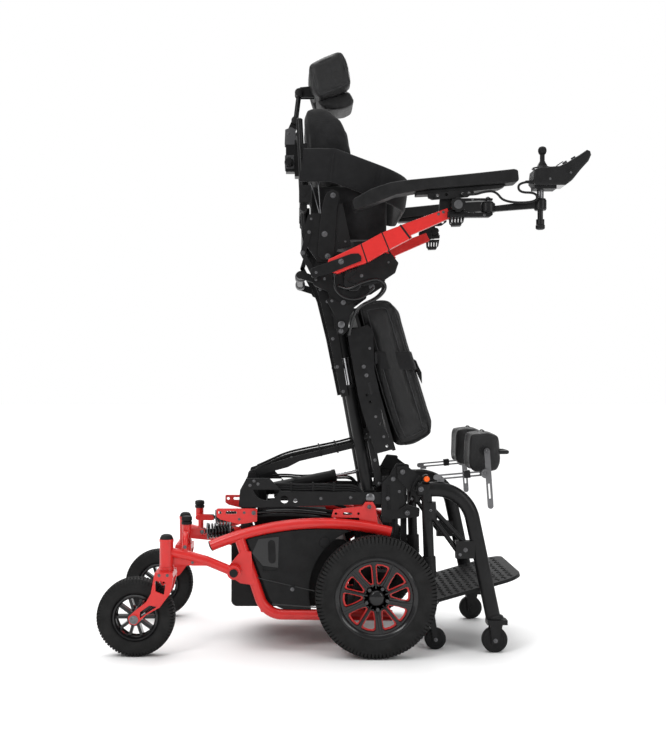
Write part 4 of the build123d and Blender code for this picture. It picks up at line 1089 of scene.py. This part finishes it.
def base_fasteners():
    bolts("base_bolts", both_sides([
        (-146, 227, 186, 5), (-262, 204.5, 411, 5.5), (85, 203.5, 429, 5.5), (-291, 196.3, 411, 3.4),
        (-306, 196.3, 391, 3.4), (-250, 184.3, 496, 4), (-262, 184.3, 505, 4), (-274, 184.3, 492, 4),
        (-137, 184.3, 447, 4.5), (-60, 184.3, 452, 4), (30, 184.3, 455, 4),
    ]), "base")
    side_bolts("arm_bolts", "swing_arm_{side}", [
        (-419, 179.8, 351, 5), (-462, 264.5, 318, 4.5), (-440, 262.3, 272, 3.5),
    ])
    side_bolts("fork_bolts", "caster_fork_{side}", [(-532, 313.2, 243, 4), (-508, 313.2, 243, 4)])
    caps("base", [
        ("pivot_cap", "plastic", (-318, 251, 242), 32,
         [(0, 25), (9, 25), (12, 23.5), (12.8, 21), (12.8, 20), (0, 20)]),
        ("knee_shaft_cap", "steel", (89, 185.5, 455), 32,
         [(0, 6.5), (7, 6.5), (11, 5), (13.5, 3.5), (13.5, 2), (0, 2)]),
    ])
    stop = [(0, 0), (15, 0), (16, 2), (16, 8), (13, 10), (16, 12), (16, 20), (14, 24), (6, 26), (0, 26)]
    caps("swing_arm_{side}", [("bump_stop", "rubber", (-462, 210, 378), 32, stop)], UP)
    cap = [(0, 14), (9, 14), (15, 11), (18, 6), (20, 0), (0, 0)]
    caps("caster_fork_{side}", [("swivel_cap", "rubber", (-516, 265, 342.2), 36, cap)], UP)


def base_leads():
    """Leads along the base plates and over the battery box, and two on the guide strut."""
    line = ((-214, 494), (-176, 497), (-120, 491), (-62, 495), (-4, 490), (34, 492), (56, 484), (64, 470))
    for number, (y, drop) in enumerate(((-171.9, 0), (-171.7, 7.5), (-172, 14.5), (171.9, 2), (171.8, 9))):
        points = [(x, y, z - drop) for x, z in line]
        cord(f"base_lead_{number}", points, 3.4 - 0.3 * (number % 2), "rubber", "base")
    bay = ((-168, 404, 5.5), (-160, 415, 4.5), (-172, 393, 4), (166, 404, 5))
    for number, (y, z, radius) in enumerate(bay):
        points = [
            (-252, y, z + 4), (-200, y, z + 8), (-130, y - 2, z + 7), (-60, y, z), (-8, y, z - 8),
            (30, y * 0.97, z - 20),
        ]
        cord(f"bay_lead_{number}", points, radius, "rubber" if number else "gloss", "base")
    for number, x in enumerate((-150, -84, -20)):
        tie = rectangle(x - 3, x + 3, 472, 500)
        prism(f"base_tie_{number}", tie, -175.7, -168.1, "plastic", "base", 0.6)
    line = ((-262, 532), (-226, 548), (-170, 574), (-110, 588), (-50, 600), (10, 612), (44, 622))
    side_cords("guide_strut", [("strut_lead", "rubber", 3.5, [(x, 62, z) for x, z in line])])
    ring = [(16, -2.2), (17.2, -2.2), (17.2, 2.2), (16, 2.2), (16, -2.2)]
    caps("guide_strut", [
        ("strut_tie_{side}_0", "plastic", (-60, 68, 588), 24, ring),
        ("strut_tie_{side}_1", "plastic", (-8, 68, 598), 24, ring),
    ], (0.97, 0, 0.24))


def shroud_lines():
    plates("base", [
        # The first row is a thin, darker gloss plate laid on the shroud where it has a recess: painted shade
        # for the recess.
        ("shroud_recess", "gloss", 224.0, 225.2, 0.3, 2,
         [(-247, 336), (-186, 343), (-188, 250), (-234, 256), (-266, 294)]),
        ("shroud_slot", "rubber", 224.4, 226.4, 0.6, 2, slot_loop((-208, 322), (-206, 274), 22)),
        ("shroud_line_{side}_0", "gloss", 224.0, 225.2, 0, 2, slot_loop((-250, 220), (-76, 180), 2)),
        ("shroud_line_{side}_1", "gloss", 224.0, 225.2, 0, 2, slot_loop((-204, 142), (-76, 132), 4)),
    ])
    cap = [(0, 3), (12, 3), (14.5, 2), (15.5, 0), (0, 0)]
    caps("base", [("shroud_cap", "plastic", (-49, 224.6, 327), 48, cap)])


# ---------------------------------------------------------------- lift, hip and back details
LEAN = radians(10.3)


def on_mast(along, ahead=0.0):
    """The (x, z) point along the leaning mast from its pivot, and ahead of it."""
    return 89 - along * sin(LEAN) + ahead * cos(LEAN), 455 + along * cos(LEAN) + ahead * sin(LEAN)


def lift_details():
    x, z = on_mast(335)
    collar = [(12.6, 0), (20, 0), (21, 2), (21, 9), (19, 11), (12.6, 11), (12.6, 0)]
    mast_axis = (-sin(LEAN), 0, cos(LEAN))
    caps("lift_arm", [("mast_collar", "plastic", (x, 140, z), 40, collar)], mast_axis)
    mast_places = [on_mast(along, 36) for along in (34, 106, 178)]
    side_bolts("mast_bolts", "lift_arm", [(x, 152.4, z, 4.2) for x, z in mast_places])
    carriage_places = ((-10, 850), (-23.6, 935), (8, 775), (-62, 1085), (-40, 1048))
    side_bolts("carriage_bolts", "seat", [(x, 166.9, z, 4.4) for x, z in carriage_places])
    side_bolts("seat_bolts", "seat", [
        (68, 210.6, 850, 5), (76, 210.6, 824, 5),
        (86, 207.9, 905, 3.6), (104, 207.9, 700, 3.6), (128, 207.9, 640, 3.6),
    ])
    plates("seat", [
        ("seat_slot_{side}_0", "gloss", 207.2, 208.0, 0, 2, slot_loop((84, 800), (90, 770), 7)),
        ("seat_slot_{side}_1", "gloss", 207.2, 208.0, 0, 2, slot_loop((104, 890), (106, 862), 7)),
    ])
    lead = [(-14, 118, 1040), (4, 112, 985), (22, 116, 920), (30, 112, 850), (34, 116, 800), (44, 112, 742)]
    side_cords("seat", [("mast_lead", "rubber", 4.0, lead)])
    cap = [(0, 3), (8, 3), (10, 2), (10.5, 0), (0, 0)]
    caps("hip", [("hip_cap", "bolt", (0, 235, 975), 36, cap)])
    ring = [(18, 0), (20.5, 0), (20.5, 10), (18, 10), (18, 0)]
    lathe("actuator_collar", ring, (-20, 0, 503.5), "plastic", "lift_actuator", (0.981, 0, 0.195), 40)
    cover = [
        (-200, 436), (-96, 438), (-92, 442), (-92, 452), (-97, 455), (-198, 450), (-206, 446), (-206, 440),
    ]
    prism("actuator_cover", cover, -22.5, 22.5, "plastic", "lift_actuator", 2.5, 3)


HIP_LEAD = [
    (-8, -221, 1092), (16, -232, 1076), (48, -238, 1094), (82, -238, 1106), (106, -238, 1110),
    (128, -238, 1100), (132, -238, 1078), (108, -238, 1052), (64, -236, 1034), (40, -232, 1012),
    (28, -226, 972), (24, -218, 944),
]
HIP_DROP = [
    (-20, -233, 1128), (-26, -236, 1096), (-4, -238, 1058), (40, -238, 1046), (78, -238, 1062),
    (96, -236, 1086),
]


def hip_details():
    hip_places = [(-50, 220.5, 1112, 4), (-76, 220.5, 1110, 4), (40, 228.3, 1092, 3.6)]
    bolts("hip_bolts", both_sides(hip_places), "hip")
    guard_places = [(60, 236, 1120, 4.4), (56, 236, 1160, 4.4), (140, 236, 1160, 3)]
    bolts("guard_bolts", both_sides(guard_places), "hip")
    side_bolts("arm_pivot", "hip", [(-3, 291.7, 1156, 7), (-76, 291.7, 1124, 3.6)])
    side_bolts("hip_extra", "hip", [
        (6, 224.3, 1041, 6.2), (-1, 224.3, 956, 6.2), (-28, 224.3, 1046, 3.6), (92, 215, 1089, 7.5),
    ])
    grip = [(12, 0), (15, 2), (16, 6), (16, 66), (14.5, 70), (12, 72), (12, 0)]
    caps("hip", [("push_grip", "grey", (-122, 100, 1124), 36, grip)])
    plates("hip", [
        ("arm_sleeve", "black", 287.4, 291.4, 1.5, 3,
         [(-94, 1131), (-88, 1137), (26, 1179), (48, 1180), (56, 1172), (56, 1158), (-34, 1122), (-84, 1108),
          (-92, 1118)]),
        ("arm_stay", "black", 220.3, 288, 1.5, 2,
         [(-90, 1114), (-72, 1116), (-68, 1130), (-88, 1132)]),
        ("hip_lobe", "gloss", 220.3, 228, 3, 3,
         [(6, 1098), (12, 1084), (26, 1074), (46, 1074), (58, 1086), (62, 1104), (60, 1150), (10, 1150)]),
        ("hip_tab", "red_plastic", 226.2, 229.5, 1, 2,
         [(-24, 1132), (6, 1140), (10, 1152), (-20, 1146)]),
        ("hip_bracket", "black", 220.3, 224, 1.2, 2,
         [(-44, 1048), (-30, 1056), (14, 1032), (34, 1040), (40, 1020), (24, 1000), (22, 962), (6, 944),
          (-12, 950), (-18, 1000)]),
    ])
    cord("hip_lead", HIP_LEAD, 4.6, "gloss", "hip")
    inner = [(x * 0.93 + 2, y + 5, z * 0.985 + 17) for x, y, z in HIP_LEAD[2:]]
    cord("hip_lead_inner", inner, 3.6, "rubber", "hip")
    cord("hip_drop", HIP_DROP, 4.0, "gloss", "hip")


def back_details():
    bolts("back_bolts", both_sides([
        (-25, 235.3, 1359, 7), (-50, 235.3, 1244, 7.5), (-41, 235.3, 1178, 7), (-96, 231.8, 1250, 4.6),
        (-115, 231.8, 1188, 6), (-86, 231.8, 1132, 4.6), (12, 230.3, 1222, 3.6), (-90, 228.3, 1290, 3.2),
    ]), "back")
    plates("back", [
        ("back_arm", "black", 231.4, 235, 1.6, 3,
         [(-66, 1250), (-57, 1330), (-50, 1354), (-42, 1368), (-26, 1375), (-11, 1368), (-5, 1352),
          (-12, 1322), (-18, 1250), (-22, 1182), (-32, 1166), (-60, 1168), (-70, 1182)]),
        ("back_support", "webbing", 228.2, 231, 0.8, 2,
         [(-34, 1338), (4, 1334), (30, 1209), (-4, 1200)]),
        ("back_link_{side}_0", "black", 228.2, 231, 1, 2, slot_loop((-115, 1188), (-96, 1250), 15)),
        ("back_link_{side}_1", "black", 228.2, 231, 1, 2, slot_loop((-115, 1188), (-86, 1132), 15)),
        ("back_flap", "webbing", 126, 205, 3, 3,
         [(-122, 1370), (-112, 1376), (-100, 1372), (-102, 1322), (-112, 1314), (-124, 1322)]),
    ])
    side_cords("back", [
        ("back_rod_{side}_0", "steel", 2.4, [(-93, 196, 1412), (-64, 206, 1308)]),
        ("back_rod_{side}_1", "steel", 2.4, [(-69, 196, 1412), (-61, 206, 1308)]),
    ])
    cap = [(0, 8), (6, 8), (10, 5), (10.4, 0), (0, 0)]
    caps("back", [("cane_cap", "plastic", (-125, 150, 1600), 32, cap)], (-0.05, 0, 1))


def headrest_mount():
    """The lobed knob, clamps and bolts of the headrest's post."""
    x, y, z = -158, -38, 1497
    lobes, reach = 12, 14 * 0.82
    bm = bmesh.new()
    add_lathe(bm, [(0, 0), (10, 0), (11, 2), (11, 15), (9, 17), (0, 17)], (x, y, z), (0, -1, 0), 36)
    for k in range(lobes):
        angle = tau * k / lobes
        lobe = (x + reach * cos(angle), y, z + reach * sin(angle))
        add_lathe(bm, [(0, 1), (2.2, 1), (2.2, 16), (0, 16)], lobe, (0, -1, 0), 8)
    from_bmesh("headrest_knob", bm, "plastic", "headrest_post")
    plates("headrest_post", [
        ("head_clamp", "grey", 17, 21, 1.4, 2,
         [(-172, 1556), (-136.5, 1556), (-136.5, 1604), (-150, 1612), (-170, 1604)]),
        ("head_slide", "grey", 20.2, 24, 1.4, 2, rectangle(-171, -141, 1480, 1522)),
    ])
    bolts("head_bolts", [
        (-137, -18.5, 1633, 5, (0, -1, 0)), (-137, 18.5, 1633, 5, (0, 1, 0)),
        (-160, -21.5, 1590, 4, (0, -1, 0)), (-160, 21.5, 1590, 4, (0, 1, 0)),
        (-148, -24.6, 1510, 3.6, (0, -1, 0)), (-148, 24.6, 1490, 3.6, (0, 1, 0)),
    ], "headrest_post")


# ---------------------------------------------------------------- armrest and joystick details
ARM_BEAM = [
    (-43, 1146), (-40, 1163), (56, 1208.5), (117, 1242), (177, 1265), (206, 1227), (139, 1192), (76, 1155),
    (24, 1138), (-12, 1122), (-30, 1128),
]
ARM_JAWS = (
    [(308, 1285), (430, 1286), (440, 1292), (440, 1299), (372, 1299), (340, 1304), (308, 1303)],
    [(320, 1329), (400, 1334), (440, 1334), (440, 1341), (320, 1341)],
)
# Seams across the armrest's beam: top point, bottom point and half width.
ARM_SEAMS = [
    ((55, 1209.5), (74, 1153), 1.8), ((116, 1243), (138, 1190), 1.8), ((170, 1264), (200, 1224), 2.8),
]


def band_across(top, bottom, half_width):
    """The outline of a straight band from top to bottom."""
    run = Vector((bottom[0] - top[0], bottom[1] - top[1])).normalized()
    wide = Vector((-run.y, run.x)) * half_width
    return [
        (top[0] - wide.x, top[1] - wide.y), (top[0] + wide.x, top[1] + wide.y),
        (bottom[0] + wide.x, bottom[1] + wide.y), (bottom[0] - wide.x, bottom[1] - wide.y),
    ]


def arm_details():
    cage = [(313, 1292), (315, 1268), (322, 1261), (345, 1262), (353, 1270), (357, 1293)]
    slots = [slot_loop((x, 1271), (x + 1, 1284), 5.5) for x in (321, 330, 339, 348)]
    for side, sign in SIDES.items():
        body = f"armrest_{side}"
        low, high = mirrored(252, 286, sign)
        beam = prism(f"arm_beam_{side}", ARM_BEAM, low, high, "red", body, 2.2, 3)
        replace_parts(beam, f"armrest_{side}")
        for number, y in enumerate((275, 300)):
            cut_plate(f"arm_cage_{side}_{number}", [cage] + slots, sign * y, 4, "plastic", body)
    plates("armrest_{side}", [
        ("arm_tongue", "red", 257, 281, 1.6, 3,
         [(150, 1228), (172, 1264), (309, 1314), (322, 1287), (196, 1232)]),
        ("arm_rise", "black", 259, 279, 2, 3,
         [(284, 1294), (314, 1290), (329, 1294), (331, 1366), (290, 1362)]),
        ("arm_cage_top", "plastic", 273, 291, 1.5, 2,
         [(312, 1296), (358, 1298), (358, 1309), (312, 1307)]),
        ("arm_cage_base", "plastic", 273, 302, 1.2, 2,
         [(320, 1259), (347, 1260), (347, 1264), (320, 1263)]),
    ])
    for number, (top, bottom, half_width) in enumerate(ARM_SEAMS):
        seam = band_across(top, bottom, half_width)
        plates("armrest_{side}", [(f"arm_seam_{{side}}_{number}", "plastic", 251.6, 286.5, 0, 2, seam)])
    side_bolts("arm_bolts_top", "armrest_{side}", [(283, 281.3, 1296, 3.6), (297, 281.3, 1302, 3.6)])
    boss = [(0, 0), (11, 0), (12, 1), (12, 35), (6.2, 35), (6.2, 30), (0, 30)]
    caps("armrest_{side}", [("arm_boss", "black", (337, 259, 1320), 36, boss)])
    cap = [(0, 3), (9, 3), (12, 1.6), (13, 0), (0, 0)]
    caps("arm_knob_{side}", [("arm_knob_cap", "grey", (337, 310.3, 1320), 32, cap)])


ARM_LEAD = [
    (552, -306, 1386), (512, -306, 1386), (512, -306, 1355), (566, -306, 1355), (566, -306, 1326),
    (470, -306, 1326), (446, -306, 1360), (410, -306, 1357), (388, -306, 1349), (362, -306, 1349),
]
SWING_X, POD_X, STICK_X, JOYSTICK_Y = 427, 580, 586, -285
LEAD_RELIEF = [
    (4, 0), (7, 0), (7, 3), (5.6, 5), (6.4, 7), (5.2, 9), (5.8, 11), (4.6, 14), (4.2, 22), (3.6, 24),
]
# Upright turned pieces of the joystick: body, finish, x, z, segments and profile.
UPRIGHTS = {
    "swing_post": ("armrest_right", "steel", SWING_X, 1290, 28, [(0, 0), (6.9, 0), (6.9, 48), (0, 48)]),
    "swing_cuff": ("joystick_arm", "black", SWING_X, 1300.5, 40,
                   [(8, 0), (19, 0), (21, 2), (21, 24.5), (19, 26.5), (8, 26.5), (8, 0)]),
    "pod_cuff": ("joystick_arm", "black", POD_X, 1308, 40,
                 [(6, 0), (16.5, 0), (18, 2), (18, 27), (16.5, 29), (6, 29), (6, 0)]),
    "pod_knob": ("joystick_arm", "plastic", POD_X, 1250, 12,
                 [(0, 0), (9, 0), (12.5, 2), (13.5, 5), (13.5, 12), (12, 14), (0, 14)]),
    "pod_post_sleeve": ("joystick_pod", "steel", POD_X, 1341, 32,
                        [(8.05, 0), (10, 0), (10, 26), (8.05, 26), (8.05, 0)]),
    "stick_ring": ("joystick_pod", "gloss", STICK_X, 1427, 56,
                   [(25, 0), (30, 0), (31, 1.5), (30, 3.5), (27, 4.5), (25, 4), (25, 0)]),
}
STICK_HEAD = [(0, -13), (6, -12), (10.5, -7.5), (12.4, -1), (12.2, 5), (10, 10), (6, 12.6), (0, 13.4)]


def stick():
    """The rubber boot, with folds that narrow towards the top, and the stick's head."""
    folds = [(17.2, 0)]
    for k in range(4):
        folds += [(16.5 - 2.6 * k, 3 + 4.5 * k), (13.2 - 2.2 * k, 5.2 + 4.5 * k)]
    folds += [(5.2, 22), (0, 22)]
    for name, profile, z, segments in (("stick_boot", folds, 1432, 48), ("stick_head", STICK_HEAD, 1480, 40)):
        centre = (STICK_X, JOYSTICK_Y, z)
        lathe(name, profile, centre, "rubber", "joystick_stick", UP, segments, sharp=80)


def pod_screen():
    """The small screen on the pod's sloping face, narrower at its far end."""
    corner, thick = Vector((622, JOYSTICK_Y, 1431.5)), 2.2
    along, up = Vector((0.83, 0, 0.556)), Vector((-0.556, 0, 0.83))
    outline = ((-26, 3), (26, 3), (22, 25), (-22, 25))
    foot = [corner + along * run + Vector((0, across, 0)) for across, run in outline]
    bm = bmesh.new()
    add_loft(bm, [[bm.verts.new((spot + up * rise) * MM) for spot in foot] for rise in (0, thick)])
    soften(from_bmesh("pod_screen", bm, "gloss", "joystick_pod"), 0.8)


def joystick_details():
    for number, jaw in enumerate(ARM_JAWS):
        prism(f"swing_jaw_{number}", jaw, -294, -270, "black", "armrest_right", 2.0, 3)
    jaw_places = [(415, -294.4, 1291, 3.4, (0, -1, 0)), (380, -294.4, 1337, 3.4, (0, -1, 0))]
    bolts("swing_jaw_bolts", jaw_places, "armrest_right")
    bolts("swing_bolt", [(SWING_X, JOYSTICK_Y, 1342.6, 6, UP)], "armrest_right")
    bolts("pod_bolts", [
        (600, -324.3, 1392, 3, (0, -1, 0)), (660, -324.3, 1410, 3, (0, -1, 0)),
        (600, -245.7, 1392, 3, (0, 1, 0)), (660, -245.7, 1410, 3, (0, 1, 0)),
    ], "joystick_pod")
    lead = cord("joystick_lead", ARM_LEAD, 3.5, "rubber", "joystick_arm")
    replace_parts(lead, "joystick_cable")
    lathe("lead_relief", LEAD_RELIEF, (556, -306, 1386), "rubber", "joystick_pod", (-1, 0, 0), 28)
    for name, (body, key, x, z, segments, profile) in UPRIGHTS.items():
        lathe(name, profile, (x, JOYSTICK_Y, z), key, body, UP, segments)
    stick()
    pod_screen()
    base = [(560, 1374.6), (646, 1374.6), (664, 1388), (560, 1386)]
    prism("pod_base", base, -320, -250, "gloss", "joystick_pod", 1.0)


# ---------------------------------------------------------------- leg details
def leg_details():
    caps("legrest", [
        ("post_sleeve", "plastic", (263.5, 228, 222), 36,
         [(16.5, 0), (19.5, 1), (20, 4), (20, 60), (19, 63), (16.5, 63), (16.5, 0)]),
    ], (-0.036, 0, 1))
    dome = [(0, 12), (14, 11), (22, 7), (25, 2), (25, 0), (0, 0)]
    caps("legrest", [("wheel_dome", "plastic", (459, 228, 102), 40, dome)], UP)
    side_bolts("leg_bolts", "legrest", [
        (236, 242.5, 486, 6.5), (368, 242.4, 306, 5.5), (352, 242.4, 292, 4), (264, 246.5, 424, 5.2),
        (262, 245.2, 150, 5.6), (456, 249.5, 38, 5.5), (184, 214.6, 535, 6.2), (286, 205.8, 144, 5),
        (284, 210.6, 32, 5),
    ])
    side_bolts("bar_bolts", "legrest", [
        (292, 232.3, 511, 3.2), (427, 250.4, 532.7, 6.5), (432, 244.4, 599, 5.5),
    ])
    plates("legrest", [
        ("bar_clamp", "plastic", 218, 240, 1.4, 2, [(366, 518), (384, 520), (382, 542), (364, 540)]),
    ])
    side_bolts("knee_bolts", "knee_carrier", [
        (157, 196.7, 512, 5.5), (200, 197.7, 410, 6), (141, 198.7, 454, 5), (176, 192.7, 474, 3.6),
        (214, 192.7, 452, 3.6),
    ])
    plates("knee_carrier", [
        ("knee_strap_{side}_0", "webbing", 172.2, 176, 0.8, 2, rectangle(150, 165, 306, 392)),
        ("knee_strap_{side}_1", "webbing", 172.2, 176, 0.8, 2, rectangle(185, 200, 306, 392)),
        ("release_lever", "plastic", 192.5, 195.5, 1, 2,
         [(138, 492), (146, 492), (150, 420), (142, 420)]),
    ])
    lead = [(232, -234, 524), (214, -226, 500), (210, -212, 462), (196, -206, 430), (176, -204, 420)]
    cord("release_lead", lead, 2.4, "rubber", "legrest")
    cap = [(0, 3.5), (6, 3.5), (8, 1.5), (8.6, -1), (0, -1)]
    lathe("release_cap", cap, (252, -252, 517), "orange", "leg_release", (0, -1, 0), 32)
    wheel_hubs("support_hub", "support_wheel_{side}", (456, 228, 38), 38)
    wheel_hubs("roller_hub", "roller_{side}", (284, 190, 32), 32)


def wheel_hubs(name, body, centre, radius):
    """Raised rings on both faces of a small wheel, on both sides of the chair."""
    rim = radius - 9
    hub = [(5.6, 12), (rim - 4, 12), (rim - 2, 13.8), (rim, 13.2), (rim, 12.4), (5.6, 11)]
    for face, hand in (("out", 1), ("in", -1)):
        row = (f"{name}_{{side}}_{face}", "plastic", centre, 40, flipped(hub, hand))
        caps(body, [row], (0, 1, 0))


def foot_details():
    """Wavy ribs across the footplate."""
    hinge, front = Vector((286, 0, 144)), Vector((549, 0, 219))
    run = (front - hinge).normalized()
    up = Vector((-run.z, 0, run.x))
    length = (front - hinge).length
    ribs, waves, rounded = 11, 9, 62
    half_width, thick, lift = 1.8, 1.8, 5
    bm = bmesh.new()
    for row in range(ribs):
        ahead = 30 + row * (length - rounded) / (ribs - 1)
        narrow = max(0.0, (ahead - (length - rounded)) / rounded)
        half = 180 - 44 * narrow ** 2
        points = []
        count = waves * 6
        for k in range(count + 1):
            across = -half + 2 * half * k / count
            swing = 5.0 * sin(tau * waves * k / count)
            points.append(hinge + run * (ahead + swing) + Vector((0, across, 0)) + up * lift)
        for a, b in zip(points, points[1:]):
            step = (b - a).normalized().cross(up) * half_width
            foot = [a + step, a - step, b - step, b + step]
            add_loft(bm, [[bm.verts.new((p + up * rise) * MM) for p in foot] for rise in (0, thick)])
    from_bmesh("foot_grip", bm, "rubber", "footplate")


# ---------------------------------------------------------------- build
camera()
backdrop()
floor()
lights()
dress_nodes()
for side, sign in SIDES.items():
    drive_wheel(side, sign)
    caster_wheel(side, sign)
springs()
tube_plugs()
base_fasteners()
base_leads()
shroud_lines()
lift_details()
hip_details()
back_details()
headrest_mount()
arm_details()
joystick_details()
leg_details()
foot_details()
seat()
thigh_strap()
back_rest()
chest_support()
head_rest()
knee_supports()
arm_supports()
